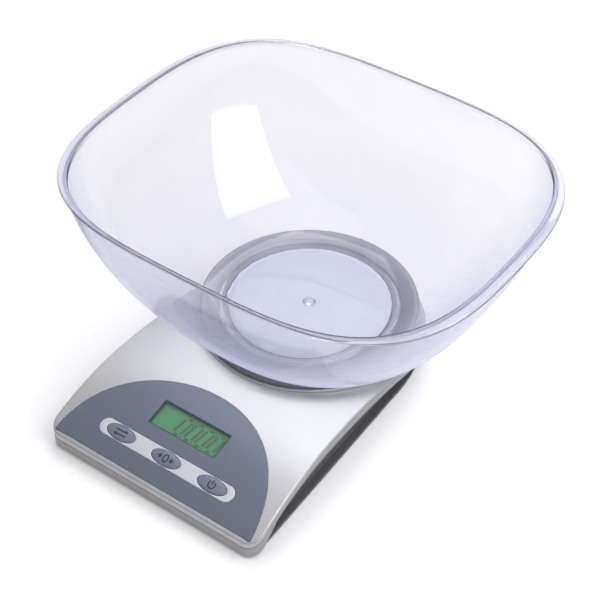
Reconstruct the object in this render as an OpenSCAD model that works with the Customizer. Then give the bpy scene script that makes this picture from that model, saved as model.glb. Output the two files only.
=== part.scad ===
// Kitchen scale: arched base with a control panel, round weighing platform, clear mixing bowl.
// X runs to the right along the front edge, Y runs to the rear, Z is up, and the scale stands on Z = 0.
// Inside the modules, Y is measured from the base's front edge; to_frame() then centres the whole.

/* [Base] */
// Width of the base at its front edge
base_w = 140; // [126:1:168]
// Length of the base, front edge to rounded rear
base_l = 216; // [205:1:260]
// How much narrower the base is where its rear rounding starts
base_taper = 10.2; // [6:0.2:12]
// Radius of the two front corners, seen from above
front_corner_r = 8; // [5:0.5:12]
// Height of the cover's top at the front edge
front_top_h = 11.6; // [10:0.1:13]
// Height of the cover at the crown of the arch
crown_h = 28.2; // [27:0.1:28.6]
// Distance from the front edge to the crown
crown_y = 68; // [60:1:74]
// Height of the cover's top at the rear edge
rear_top_h = 9.6; // [8.6:0.1:11]
// Wall of the cover
cover_wall = 2; // [1.6:0.1:2.2]
// Depth of the silver edge along the two sides, cover lip and band together
side_edge_h = 6.1; // [5:0.1:7]

/* [Bottom housing] */
// How far the dark housing is set in from the edge
housing_inset = 5.5; // [4:0.1:6]
// Wall and floor of the housing
housing_wall = 2; // [1.6:0.1:2.2]
// Height of a rubber foot
foot_h = 2; // [1.6:0.1:3]
// Radius of a rubber foot
foot_r = 7; // [5:0.5:8]

/* [Control panel] */
// Radius of the panel's domed rear edge
panel_r = 66; // [60:0.5:66]
// Thickness of the panel plate
panel_t = 0.8; // [0.6:0.1:1]
// Width of the display opening
display_w = 44.4; // [38:0.2:53]
// Depth of the display opening
display_d = 16; // [12:0.2:17]
// Length of a button
button_w = 18.4; // [14:0.2:22]
// Width of a button
button_d = 8; // [6:0.1:9]
// Distance from button to button
button_pitch = 30.6; // [26:0.2:32]
// How far a button goes down
button_travel = 0.6; // [0.3:0.1:0.6]

/* [Platform] */
// Radius of the weighing platform
platform_r = 62; // [52:0.5:62]
// Height of the platform's top edge
platform_top_h = 36.1; // [35:0.1:38]
// How far the platform sinks under full load
load_travel = 0.4; // [0.2:0.1:0.5]

/* [Bowl] */
// Inner width of the bowl's mouth
bowl_w = 238; // [200:1:286]
// Inner depth of the bowl's mouth, front to back
bowl_d = 202; // [172:1:242]
// Height of the bowl's rim above the table
bowl_rim_h = 126.6; // [110:0.5:150]
// Wall of the bowl
bowl_wall = 2; // [1.6:0.1:2.6]
// Width of the grip flange left and right
bowl_flange_w = 6.5; // [4:0.5:10]

/* [Load cell] */
// Length of the load cell
cell_l = 70; // [60:1:80]
// Width and height of the load cell
cell_w = 12.7; // [11:0.1:13]

/* [Hidden] */

$fn = 64;
fit_gap = 0.15;
tap_gap = 0.03;
slide_gap = 0.3;
cut_over = 1;
far = 200;
deep = 20;

// Where things stand, from front to rear
platform_y = 143;
edge_bottom_h = 1.5;
bowl_end_extra = 2.2;
total_d = platform_y + bowl_d / 2 + bowl_end_extra;

// Arch: a front arc, then a rear arc that turns the other way where it runs out
front_drop = crown_h - front_top_h;
front_arc_r = (crown_y * crown_y + front_drop * front_drop) / (2 * front_drop);
rear_run = base_l - crown_y;
rear_drop = crown_h - rear_top_h;
rear_arc_sum = (rear_run * rear_run + rear_drop * rear_drop) / (2 * rear_drop);
rear_share = 0.6;
rear_arc_r = rear_arc_sum * rear_share;
rear_turn_r = rear_arc_sum - rear_arc_r;
rear_turn_y = crown_y + rear_run * rear_share;
arch_steps = 36;

function arc_sag(r, d) = r - sqrt(r * r - d * d);
function arch_z(y) =
    y <= crown_y ? crown_h - arc_sag(front_arc_r, crown_y - y)
    : y <= rear_turn_y ? crown_h - arc_sag(rear_arc_r, y - crown_y)
    : rear_top_h + arc_sag(rear_turn_r, base_l - min(y, base_l));

// Silver edge: the seam under the cover's lip and the band's lower edge
front_lip_h = 3.7;
side_lip_h = 1.4;
rear_lip_h = 2;
front_ease = 20;
rear_ease = 45;
function front_fade(y) = max(0, 1 - y / front_ease);
function rear_fade(y) = max(0, 1 - (base_l - y) / rear_ease);
function seam_z(y) = arch_z(y) - side_lip_h - (front_lip_h - side_lip_h) * front_fade(y)
    - (rear_lip_h - side_lip_h) * rear_fade(y);
function edge_z(y) = edge_bottom_h + (arch_z(y) - side_edge_h - edge_bottom_h)
    * (1 - front_fade(y)) * (1 - rear_fade(y));

// Outline seen from above: round front corners, tapering sides and a rounded rear end
rear_start_y = base_l * 0.625;
rear_power = 2.2;
corner_steps = 6;
rear_steps = 20;
function side_x(y, inset) = base_w / 2 - inset - base_taper / 2 * y / rear_start_y;
function right_half(inset) = concat(
    [for (i = [0 : corner_steps]) let (a = -90 + 90 * i / corner_steps, r = front_corner_r - inset * 0.6)
        [side_x(r, inset) - r + r * cos(a), inset + r + r * sin(a)]],
    [for (i = [0 : rear_steps - 1]) let (a = 90 * i / rear_steps)
        [side_x(rear_start_y, inset) * pow(cos(a), 2 / rear_power),
         rear_start_y + (base_l - inset - rear_start_y) * pow(sin(a), 2 / rear_power)]]);
function mirrored(points) = [for (i = [len(points) - 1 : -1 : 0]) [-points[i][0], points[i][1]]];

// Collar under the platform
collar_gap = 0.6;
collar_wall = 2;
collar_r = platform_r + 1.5;
collar_top_h = 28.9;
plate_lap = 0.4;
deck_t = 2;
platform_bottom_h = collar_top_h + collar_gap;

// Platform dish that the bowl stands in
platform_wall = 2;
dish_inset = 11.5;
dish_r = platform_r - dish_inset;
dish_h = platform_top_h - 3.5;
boss_ring_r = dish_r - 12.5;
boss_r = 4;
boss_hole_r = 1.3;
boss_hole_l = 5.5;
boss_angles = [45, 135, 225, 315];
boss_pass_r = boss_r + 1;

// Load cell and what it carries
cell_stand = 1.5;
cell_bottom_h = foot_h + housing_wall + 2 * cell_stand;
cell_top_h = cell_bottom_h + cell_w;
cell_y0 = platform_y - cell_l / 2;
cell_y1 = platform_y + cell_l / 2;
cell_stop_l = 8;
cell_screw_r = 1.95;
cell_screw_l = 12;
cell_head_r = 3.4;
cell_head_h = 1.8;
screw_gap = 0.2;
thread_gap = 0.1;
cell_hole_r = 2.05;
cell_screw_at = [5.5, 20.5];
cell_bore_r = 4.2;
cell_bore_pitch = 15;
carrier_t = 2.5;
carrier_pad_t = 2;
carrier_bottom_h = cell_top_h + carrier_pad_t;
carrier_top_h = carrier_bottom_h + carrier_t;
carrier_arm_w = 14;
coat_l = 16;
coat_t = 0.8;
spacer_end = 5.5;

// Control panel
panel_cy = -5;
panel_front_y = 2.1;
panel_proud = 0.1;
strip_w = 89.4;
strip_d = 9.6;
strip_proud = 0.25;
panel_mid_y = 28;
panel_tilt = asin((crown_y - panel_mid_y) / front_arc_r);
button_y = -12.6;
display_mid_y = 35.9;
display_tilt = asin((crown_y - display_mid_y) / front_arc_r);
button_proud = 0.9;
button_flange = 1;
flange_room = 2 * button_flange + 1;
button_flange_t = 0.8;
button_depth = 2.1;
button_floor = -panel_t - button_depth - button_flange_t;
button_stem_r = 2;
window_margin = 2;
window_top = -1.2;
window_t = 1.2;
window_face = -0.4;
digit_t = 0.15;
digit_w = 5.4;
digit_h = 10;
digit_bar = 0.9;
digit_slant = 0.12;
digit_pitch = 8.2;
digit_count = 4;
digit_margin = 4;
point_size = 0.9;
glass_t = 2;
glass_top = window_top - window_t - digit_t;
glass_size = [display_w + 2, display_d + 2, glass_t];
backlight_t = 2;
connector_w = 34;
connector_d = 1.8;
connector_y = (connector_d - glass_size[1]) / 2;
connector_gap = 0.3;
lcd_rim = 1.4;
lcd_floor = 1;
lcd_leg = 2.5;
board_top = -9;
board_t = 1.6;
board_w = 100;
board_d = 38;
post_r = 3;
board_screw_r = 0.9;
board_head_r = 2.2;
board_head_h = 1.3;
board_screw_l = 5;
board_posts_at = [[44, -14], [44, 14]];
chip_cover_r = 7;
chip_cover_h = 2;
chip_at = [36, 4];
switch_w = 6;
switch_h = 3.5;
actuator_r = 1.6;
actuator_h = 0.9;
stem_bottom = board_top + switch_h + actuator_h + button_travel + 0.1;

// Battery bay
battery_size = [48.5, 26.5, 17.5];
battery_y = 71;
battery_gap = 0.5;
battery_bottom_h = foot_h + housing_wall + battery_gap;
bay_wall = 2;
door_t = 1.6;
door_gap = 0.4;
door_w = battery_size[0] + 4;
door_y0 = battery_y - battery_size[1] / 2 - 1;
door_y1 = battery_y + battery_size[1] / 2 + 1;
hinge_reach = 2.5;
hinge_gap = 0.8;
door_axis_y = door_y1 + hinge_reach;
door_axis_h = foot_h + 1.6;
door_pin_r = 1;
door_pin_gap = 0.08;
door_knuckle_r = 1.5;
door_arm_x = 18;
door_arm_w = 5;
knuckle_w = 3;
ear_h = door_axis_h - foot_h + door_pin_r + bay_wall / 2;
arm_slot_l = door_axis_y - door_y1 + door_knuckle_r + door_gap + cut_over;
snap_size = [1.3, 24, 11.5];
snap_lift = 3;
snap_x = battery_size[0] / 2 + 1.7;
terminal_r = 2.6;
terminal_y = 6.4;
terminal_h = 1.6;
lead_r = 0.55;
cable_r = 0.9;

// Screws that hold the housing to the cover
housing_screw_r = 1.25;
housing_head_r = 2.6;
housing_head_h = 1.4;
housing_boss_r = 3.4;
housing_screws_at = [[base_w / 2 - 13, 14], [base_w / 2 - 16, 92], [base_w * 0.16, base_l - 17]];
feet_at = [[base_w / 2 - 20, 31], [base_w / 2 - 30, base_l - 38]];

// Bowl: rings of one rounded-square family, round at the floor
bowl_sides = 72;
bowl_steps = 14;
bowl_lip_t = 1.8;
bowl_floor_r = dish_r - 0.3;
bowl_foot_r = bowl_floor_r - 3;
bowl_wall_r = bowl_floor_r - 3.2;
bowl_foot_h = 0.6;
bowl_floor_t = 2;
bowl_bottom_h = dish_h;
bowl_turn_h = bowl_bottom_h + 2.4;
power_x = 3.5;
power_y = 2.95;
curve_x = 1.64;
curve_y = 1.79;
square_rate = 0.72;
flange_droop = 1.4;

wire_sides = 8;

// ---- Helpers ----
module to_frame() {
    translate([0, -total_d / 2, 0]) children();
}

module both_sides() {
    children();
    mirror([1, 0, 0]) children();
}

module plan(inset) {
    points = right_half(inset);
    polygon(concat(points, mirrored(points)));
}

module plan_solid(inset) {
    translate([0, 0, -cut_over]) linear_extrude(far) plan(inset);
}

module edge_ring(outer_inset, inner_inset) {
    difference() {
        plan_solid(outer_inset);
        translate([0, 0, -cut_over]) plan_solid(inner_inset);
    }
}

// A slab across the whole width between two curves along Y, given as lists of [y, z]
module across(upper, lower) {
    back = [for (i = [len(lower) - 1 : -1 : 0]) lower[i]];
    translate([-far / 2, 0, 0]) rotate([90, 0, 90]) linear_extrude(far) polygon(concat(upper, back));
}

arch_ys = concat([-cut_over], [for (i = [0 : arch_steps]) base_l * i / arch_steps], [base_l + cut_over]);
function in_base(y) = max(0, min(base_l, y));
function arch_curve(drop) = [for (y = arch_ys) [y, arch_z(in_base(y)) - drop]];
function seam_curve(drop) = [for (y = arch_ys) [y, seam_z(in_base(y)) - drop]];
function edge_curve() = [for (y = arch_ys) [y, edge_z(in_base(y))]];
function level_curve(z) = [[-cut_over, z], [base_l + cut_over, z]];

module arch_layer(top_drop, bottom_drop) {
    across(arch_curve(top_drop), arch_curve(bottom_drop));
}

module at_platform() {
    translate([0, platform_y, 0]) children();
}

// Frames that touch the panel under the buttons and under the display; their Z points out of it
module on_panel() {
    translate([0, panel_mid_y, arch_z(panel_mid_y)]) rotate([panel_tilt, 0, 0]) children();
}

module on_display() {
    translate([0, display_mid_y, arch_z(display_mid_y)]) rotate([display_tilt, 0, 0]) children();
}

// What lies above the circuit board's upper face
module above_board() {
    on_panel() box_at([far, far, far], board_top);
}

module box_at(size, bottom) {
    translate([-size[0] / 2, -size[1] / 2, bottom]) cube(size);
}

function ellipse(w, d, steps = 48) =
    [for (i = [0 : steps - 1]) [w / 2 * cos(360 * i / steps), d / 2 * sin(360 * i / steps)]];

module oval(w, d, bottom, top) {
    translate([0, 0, bottom]) linear_extrude(top - bottom) polygon(ellipse(w, d));
}

module panel_plan(grow) {
    translate([0, panel_cy]) intersection() {
        circle(r = panel_r + grow, $fn = 128);
        translate([-far / 2, panel_front_y - panel_cy - grow]) square([far, far]);
    }
}

module pill(w, d, bottom, top) {
    translate([0, 0, bottom]) linear_extrude(top - bottom) {
        for (side = [-1, 1]) translate([side * (w - d) / 2, 0]) circle(d = d);
        square([w - d, d], center = true);
    }
}

module button_row() {
    for (i = [-1 : 1]) translate([i * button_pitch, button_y, 0]) children();
}

// The joint between a cover boss and the housing boss under it
function housing_boss_top(y) = foot_h + housing_wall + (arch_z(y) - cover_wall - foot_h - housing_wall) / 2;

// Upper limit of the housing's floor: inside the band, and under the cover
function floor_limit(y) = max(foot_h + housing_wall / 2,
    min(edge_z(y) + housing_wall, arch_z(y) - cover_wall - fit_gap));
function floor_curve() = [for (y = arch_ys) [y, floor_limit(in_base(y))]];

// A round wire along points, as one swept solid
function unit(v) = v / norm(v);
function tangent(path, i) = unit(path[min(i + 1, len(path) - 1)] - path[max(i - 1, 0)]);
function wire_ring(centre, t, side, r) = let (u = unit(cross(t, side)), v = cross(u, t))
    [for (k = [0 : wire_sides - 1]) let (a = 360 * k / wire_sides) centre + r * (cos(a) * u + sin(a) * v)];
function spline(a, b, c, d, f) = 0.5 * (2 * b + (c - a) * f + (2 * a - 5 * b + 4 * c - d) * f * f
    + (3 * b - a - 3 * c + d) * f * f * f);
function smooth_point(p, i, f) = spline(p[max(i - 1, 0)], p[i], p[i + 1], p[min(i + 2, len(p) - 1)], f);
function smooth_path(p, n) = concat(
    [for (i = [0 : len(p) - 2], k = [0 : n - 1]) smooth_point(p, i, k / n)], [p[len(p) - 1]]);

module wire(points, r, side) {
    path = smooth_path(points, 4);
    rings = [for (i = [0 : len(path) - 1]) wire_ring(path[i], tangent(path, i), side, r)];
    last = len(path) - 1;
    walls = [for (i = [0 : last - 1], k = [0 : wire_sides - 1]) let (n = (k + 1) % wire_sides)
        [i * wire_sides + k, i * wire_sides + n, (i + 1) * wire_sides + n, (i + 1) * wire_sides + k]];
    start_cap = [for (k = [wire_sides - 1 : -1 : 0]) k];
    end_cap = [for (k = [0 : wire_sides - 1]) last * wire_sides + k];
    tris = [for (f = walls) each [[f[0], f[1], f[2]], [f[0], f[2], f[3]]]];
    polyhedron(points = [for (ring = rings) each ring], faces = concat(tris, [start_cap], [end_cap]));
}

module screw(r, length, head_r, head_h) {
    cylinder(r = head_r, h = head_h);
    translate([0, 0, head_h]) cylinder(r = r, h = length);
}

// ---- Casing ----
module window_cut(grow, bottom, top) {
    on_display() box_at([display_w + grow, display_d + grow, top - bottom], bottom);
}

module top_cover() {
    to_frame() color("#d2d3d8") {
        difference() {
            union() {
                difference() {
                    intersection() {
                        plan_solid(cover_wall);
                        arch_layer(0, cover_wall);
                    }
                    at_platform() cylinder(r = collar_r - collar_wall, h = far);
                }
                intersection() {
                    edge_ring(0, cover_wall + plate_lap);
                    across(arch_curve(0), seam_curve(0));
                }
                intersection() {
                    at_platform() difference() {
                        cylinder(r = collar_r, h = collar_top_h);
                        translate([0, 0, -cut_over]) cylinder(r = collar_r - collar_wall, h = far);
                    }
                    across(level_curve(far), arch_curve(cover_wall / 2));
                }
                at_platform() translate([0, 0, collar_top_h - deck_t])
                    cylinder(r = collar_r - collar_wall / 2, h = deck_t);
                intersection() {
                    for (p = housing_screws_at) both_sides() translate([p[0], p[1], housing_boss_top(p[1])])
                        cylinder(r = housing_boss_r, h = far);
                    across(arch_curve(cover_wall / 2), level_curve(0));
                }
            }
            intersection() {
                linear_extrude(far) panel_plan(fit_gap);
                arch_layer(-cut_over, panel_t);
            }
            window_cut(2 * window_margin + 2 * fit_gap, -deep, deep);
            on_panel() button_row() oval(button_w + flange_room, button_d + flange_room, -deep, deep);
            for (p = housing_screws_at) both_sides() translate([p[0], p[1], 0])
                cylinder(r = housing_screw_r + tap_gap, h = arch_z(p[1]) - cover_wall);
            at_platform() for (a = boss_angles) rotate(a) translate([boss_ring_r, 0, 0])
                cylinder(r = boss_pass_r, h = far);
        }
    }
}

module edge_band() {
    to_frame() color("#b4b4b6") {
        intersection() {
            edge_ring(0, cover_wall);
            across(seam_curve(0), edge_curve());
        }
    }
}

module bottom_housing() {
    to_frame() color("#46464a") difference() {
        union() {
            intersection() {
                union() {
                    translate([0, 0, foot_h]) linear_extrude(housing_wall) plan(cover_wall + fit_gap);
                    intersection() {
                        edge_ring(housing_inset, housing_inset + housing_wall);
                        across(level_curve(far), level_curve(foot_h));
                    }
                }
                across(floor_curve(), level_curve(0));
            }
            intersection() {
                edge_ring(housing_inset, housing_inset + housing_wall);
                across(arch_curve(cover_wall + fit_gap), level_curve(foot_h));
            }
            intersection() {
                for (p = housing_screws_at) both_sides() translate([p[0], p[1], foot_h])
                    cylinder(r = housing_boss_r, h = housing_boss_top(p[1]) - foot_h);
                plan_solid(housing_inset);
            }
            cell_seat();
            board_posts();
            battery_bay();
        }
        for (p = housing_screws_at) both_sides() translate([p[0], p[1], 0]) {
            cylinder(r = housing_screw_r + thread_gap, h = far);
            cylinder(r = housing_head_r + screw_gap, h = foot_h + housing_head_h);
        }
        for (d = cell_screw_at) translate([0, cell_y1 - d, 0]) {
            cylinder(r = cell_screw_r + thread_gap, h = far);
            cylinder(r = cell_head_r + screw_gap, h = foot_h + cell_head_h);
        }
        translate([-door_w / 2 - door_gap, door_y0 - door_gap, 0])
            cube([door_w + 2 * door_gap, door_y1 - door_y0 + door_gap + hinge_gap, battery_bottom_h]);
        both_sides() translate([door_arm_x - door_arm_w / 2 - door_gap, door_y1 - cut_over, 0])
            cube([door_arm_w + 2 * door_gap, arm_slot_l, battery_bottom_h + cut_over]);
        door_pins(door_pin_gap);
    }
}

// A raised seat under the fixed end of the load cell, and a stop below its free end
module cell_seat() {
    seat_l = cell_screw_at[1] + spacer_end + 1;
    translate([-cell_w / 2 - 1, cell_y1 - seat_l, foot_h])
        cube([cell_w + 2, seat_l + 1, housing_wall + cell_stand]);
    translate([-cell_w / 2, cell_y0, foot_h])
        cube([cell_w, cell_stop_l, cell_bottom_h - foot_h - load_travel - screw_gap]);
}

module board_posts() {
    intersection() {
        on_panel() both_sides() for (p = board_posts_at) translate([p[0], p[1], -far / 4])
            difference() {
                cylinder(r = post_r, h = far / 4 + board_top - board_t);
                cylinder(r = board_screw_r + tap_gap, h = far);
            }
        across(level_curve(far / 2), level_curve(foot_h + housing_wall / 2));
    }
}

module battery_bay() {
    wall_h = battery_size[2] * 0.6;
    inner = [battery_size[0] + 2 * battery_gap, battery_size[1] + 2 * battery_gap];
    translate([0, battery_y, foot_h + housing_wall / 2]) difference() {
        box_at([inner[0] + 2 * bay_wall + 6, inner[1] + 2 * bay_wall, wall_h], 0);
        box_at([inner[0] + 6, inner[1], far], -cut_over);
    }
    both_sides() for (x = [door_arm_w / 2 + door_gap, -door_arm_w / 2 - door_gap - knuckle_w])
        translate([door_arm_x + x, door_axis_y - door_knuckle_r - bay_wall / 2, foot_h])
            cube([knuckle_w, 2 * door_knuckle_r + bay_wall, ear_h]);
}

module housing_screws() {
    to_frame() color("#8c8c90") for (p = housing_screws_at) both_sides() translate([p[0], p[1], foot_h])
        screw(housing_screw_r, arch_z(p[1]) - cover_wall - foot_h - housing_head_h - collar_gap,
            housing_head_r, housing_head_h);
}

module rubber_feet() {
    to_frame() color("#2c2c2e") for (p = feet_at) both_sides() translate([p[0], p[1], 0])
        cylinder(r = foot_r, h = foot_h);
}

// ---- Control panel, display and buttons ----
module control_panel() {
    to_frame() color("#69768a") difference() {
        intersection() {
            linear_extrude(far) panel_plan(0);
            arch_layer(-panel_proud, panel_t);
        }
        window_cut(0, -deep, deep);
        on_panel() translate([0, button_y, 0]) pill(strip_w, strip_d, -deep, deep);
    }
}

module button_strip() {
    to_frame() color("#b9bbc4") difference() {
        intersection() {
            on_panel() translate([0, button_y, 0])
                pill(strip_w - 2 * fit_gap, strip_d - 2 * fit_gap, -deep, deep);
            arch_layer(-strip_proud, panel_t);
        }
        on_panel() button_row() oval(button_w + 2 * slide_gap, button_d + 2 * slide_gap, -deep, deep);
    }
}

module button(place) {
    to_frame() color("#7a8193") {
        intersection() {
            on_panel() translate([place * button_pitch, button_y, 0]) union() {
                oval(button_w, button_d, button_floor, deep);
                oval(button_w + 2 * button_flange, button_d + 2 * button_flange,
                    button_floor, button_floor + button_flange_t);
            }
            across(arch_curve(-button_proud), level_curve(0));
        }
        on_panel() translate([place * button_pitch, button_y, stem_bottom])
            cylinder(r = button_stem_r, h = button_floor - stem_bottom + button_flange_t / 2);
    }
}

module unit_button() { button(-1); }
module tare_button() { button(0); }
module power_button() { button(1); }

module display_window() {
    to_frame() color("#cfe8d8", 0.4) {
        window_cut(2 * window_margin, window_top - window_t, window_top);
        window_cut(-2 * fit_gap, window_top - fit_gap, window_face);
    }
}

module lcd_glass() {
    to_frame() color("#8fae90") on_display() box_at(glass_size, glass_top - glass_t);
}

// One segment of a digit: a bar between two points, given before the digit is slanted
function slanted(p) = [p[0] + digit_slant * p[1], p[1]];

module bar(p, q, wide) {
    polygon([for (c = [p - wide, q - wide, q + wide, p + wide]) slanted(c)]);
}

// A seven-segment zero: two level bars, and two upright bars on each side
module zero() {
    half = digit_bar / 2;
    trim = digit_bar * 0.7;
    middle = digit_h / 2;
    for (y = [0, digit_h]) bar([trim, y], [digit_w - trim, y], [0, half]);
    for (x = [0, digit_w]) {
        bar([x, trim], [x, middle - half / 2], [-half, 0]);
        bar([x, middle + half / 2], [x, digit_h - trim], [-half, 0]);
    }
}

module lcd_digits() {
    last_x = display_w / 2 - digit_margin - digit_w;
    to_frame() color("#2f5c3a") on_display() translate([0, 0, glass_top]) linear_extrude(digit_t * 0.8) {
        for (i = [0 : digit_count - 1]) translate([last_x - i * digit_pitch, -digit_h / 2]) zero();
        for (i = [1 : digit_count - 1])
            translate([last_x - i * digit_pitch + digit_w + point_size, -(digit_h + point_size) / 2])
                square(point_size);
    }
}

module lcd_backlight() {
    room = connector_d + connector_gap;
    to_frame() color("#4c9a62") on_display() translate([0, room / 2, 0])
        box_at([glass_size[0], glass_size[1] - room, backlight_t], glass_top - glass_t - backlight_t);
}

module lcd_frame() {
    pocket = [glass_size[0] + 2 * fit_gap, glass_size[1] + 2 * fit_gap];
    floor_top = glass_top - glass_t - backlight_t;
    outer = [pocket[0] + 2 * lcd_rim, pocket[1] + 2 * lcd_rim];
    frame_h = glass_t + backlight_t - screw_gap + lcd_floor;
    to_frame() color("#e6e6e2") {
        difference() {
            on_display() box_at([outer[0], outer[1], frame_h], floor_top - lcd_floor);
            on_display() box_at([pocket[0], pocket[1], far], floor_top);
            on_display() translate([0, connector_y, 0])
                box_at([connector_w + 2 * connector_gap, connector_d + 2 * connector_gap, far], -far / 2);
        }
        intersection() {
            on_display() for (x = [-1, 1], y = [-1, 1])
                translate([x * (outer[0] - lcd_leg) / 2, y * (outer[1] - lcd_leg) / 2, 0])
                    box_at([lcd_leg, lcd_leg, deep], floor_top - lcd_floor / 2 - deep);
            above_board();
        }
    }
}

module lcd_connector() {
    to_frame() color("#f0b8b8") intersection() {
        on_display() translate([0, connector_y, 0])
            box_at([connector_w, connector_d, deep], glass_top - glass_t - deep);
        above_board();
    }
}

module main_board() {
    to_frame() color("#2f6b3c") on_panel() difference() {
        box_at([board_w, board_d, board_t], board_top - board_t);
        both_sides() for (p = board_posts_at) translate([p[0], p[1], board_top - board_t - cut_over])
            cylinder(r = board_screw_r + screw_gap, h = board_t + 2 * cut_over);
    }
}

module chip_cover() {
    dome = [for (a = [0 : 15 : 90]) [chip_cover_r * cos(a), chip_cover_h * sin(a)]];
    to_frame() color("#1c1c1e") on_panel() translate([chip_at[0], chip_at[1], board_top])
        rotate_extrude() polygon(concat([[0, 0]], dome));
}

module tact_switches() {
    to_frame() color("#303034") on_panel() button_row() {
        box_at([switch_w, switch_w, switch_h], board_top);
        translate([0, 0, board_top + switch_h]) cylinder(r = actuator_r, h = actuator_h);
    }
}

module board_screws() {
    to_frame() color("#a8a8ac") on_panel() both_sides() for (p = board_posts_at)
        translate([p[0], p[1], board_top]) {
            cylinder(r = board_head_r, h = board_head_h);
            translate([0, 0, -board_screw_l]) cylinder(r = board_screw_r, h = board_screw_l);
        }
}

// ---- Weighing parts ----
module load_cell() {
    to_frame() color("#b8babd") difference() {
        translate([-cell_w / 2, cell_y0, cell_bottom_h]) cube([cell_w, cell_l, cell_w]);
        translate([0, platform_y, cell_bottom_h + cell_w / 2]) {
            for (side = [-1, 1]) translate([-cell_w, side * cell_bore_pitch / 2, 0]) rotate([0, 90, 0])
                cylinder(r = cell_bore_r, h = 2 * cell_w);
            translate([-cell_w, -cell_bore_pitch / 2, -cell_bore_r / 2])
                cube([2 * cell_w, cell_bore_pitch, cell_bore_r]);
        }
        for (d = cell_screw_at, y = [cell_y0 + d, cell_y1 - d]) translate([0, y, 0])
            cylinder(r = cell_hole_r, h = far);
    }
}

module gauge_coat() {
    to_frame() color("#e8e4dc") at_platform() for (bottom = [cell_top_h, cell_bottom_h - coat_t])
        box_at([cell_w - 2, coat_l, coat_t], bottom);
}

module cell_spacer() {
    spacer_l = cell_screw_at[1] + spacer_end;
    to_frame() color("#9a9ca0") difference() {
        translate([-cell_w / 2, cell_y1 - spacer_l, foot_h + housing_wall + cell_stand])
            cube([cell_w, spacer_l, cell_stand]);
        for (d = cell_screw_at) translate([0, cell_y1 - d, 0])
            cylinder(r = cell_screw_r + screw_gap, h = far);
    }
}

module cell_screws() {
    to_frame() color("#8c8c90") for (d = cell_screw_at) translate([0, cell_y1 - d, foot_h])
        screw(cell_screw_r, cell_screw_l, cell_head_r, cell_head_h);
}

module platform_carrier() {
    to_frame() color("#7d8086") difference() {
        union() {
            at_platform() for (a = boss_angles) rotate(a) {
                translate([0, -carrier_arm_w / 2, carrier_bottom_h])
                    cube([boss_ring_r, carrier_arm_w, carrier_t]);
                translate([boss_ring_r, 0, carrier_bottom_h]) cylinder(r = carrier_arm_w / 2, h = carrier_t);
            }
            translate([-cell_w / 2 - 3, cell_y0, carrier_bottom_h])
                cube([cell_w + 6, platform_y - cell_y0, carrier_t]);
            translate([-cell_w / 2, cell_y0, cell_top_h])
                cube([cell_w, cell_screw_at[1] + 1 + cell_screw_r, carrier_pad_t + carrier_t / 2]);
        }
        for (d = cell_screw_at) translate([0, cell_y0 + d, 0])
            cylinder(r = cell_screw_r + screw_gap, h = far);
        at_platform() for (a = boss_angles) rotate(a) translate([boss_ring_r, 0, 0])
            cylinder(r = boss_hole_r + 2 * screw_gap, h = far);
    }
}

module carrier_screws() {
    to_frame() color("#8c8c90") for (d = cell_screw_at)
        translate([0, cell_y0 + d, carrier_top_h + cell_head_h]) mirror([0, 0, 1])
            screw(cell_screw_r, cell_screw_l, cell_head_r, cell_head_h);
}

module platform_profile() {
    edge = 1.5;
    polygon([[0, dish_h], [dish_r, dish_h], [dish_r + 0.8, dish_h + 0.5],
        [platform_r - 3, platform_top_h - 0.4],
        [platform_r - edge, platform_top_h], [platform_r - 0.5, platform_top_h - 0.5],
        [platform_r, platform_top_h - edge], [platform_r, platform_bottom_h],
        [platform_r - platform_wall, platform_bottom_h],
        [platform_r - platform_wall, platform_top_h - edge - platform_wall],
        [dish_r + 1, dish_h - platform_wall], [0, dish_h - platform_wall]]);
}

module platform() {
    to_frame() color("#a9acb2") at_platform() {
        rotate_extrude($fn = 128) platform_profile();
        for (a = boss_angles) rotate(a) translate([boss_ring_r, 0, carrier_top_h]) difference() {
            cylinder(r = boss_r, h = dish_h - platform_wall / 2 - carrier_top_h);
            translate([0, 0, -cut_over]) cylinder(r = boss_hole_r, h = cut_over + boss_hole_l);
        }
    }
}

module platform_screws() {
    to_frame() color("#8c8c90") at_platform() for (a = boss_angles) rotate(a)
        translate([boss_ring_r, 0, carrier_bottom_h - housing_head_h])
            screw(boss_hole_r - tap_gap, carrier_t + boss_hole_l - cut_over, housing_head_r, housing_head_h);
}

// ---- Bowl ----
function signed_pow(v, p) = sign(v) * pow(abs(v), p);
function ring_point(k, a, b, nx, ny, z, droop) =
    let (t = 360 * k / bowl_sides, x = a * signed_pow(cos(t), 2 / nx))
    [x, b * signed_pow(sin(t), 2 / ny), z - droop * pow(abs(x) / a, 6)];
function ring(a, b, nx, ny, z, droop = 0) =
    [for (k = [0 : bowl_sides - 1]) ring_point(k, a, b, nx, ny, z, droop)];
function round_ring(r, z) = ring(r, r, 2, 2, z);
function grow(s, p) = pow(1 - pow(1 - s, p), 1 / p);
function wall_ring(s, a, b, start_r, z0, z1) = let (q = pow(s, square_rate))
    ring(start_r + (a - start_r) * grow(s, curve_x), start_r + (b - start_r) * grow(s, curve_y),
        2 + (power_x - 2) * q, 2 + (power_y - 2) * q, z0 + (z1 - z0) * s);
function wall_rings(a, b, start_r, z0, z1) =
    [for (i = [1 : bowl_steps]) wall_ring(pow(i / bowl_steps, 1.6), a, b, start_r, z0, z1)];
function rim_ring(out_x, out_y, z, droop) =
    ring(bowl_w / 2 + out_x, bowl_d / 2 + out_y, power_x, power_y, z, droop);
function past_floor(rings) = [for (r = rings) if (r[0][0] > bowl_floor_r + 2) r];
function turned(rings) = [for (i = [len(rings) - 1 : -1 : 0]) rings[i]];

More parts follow.
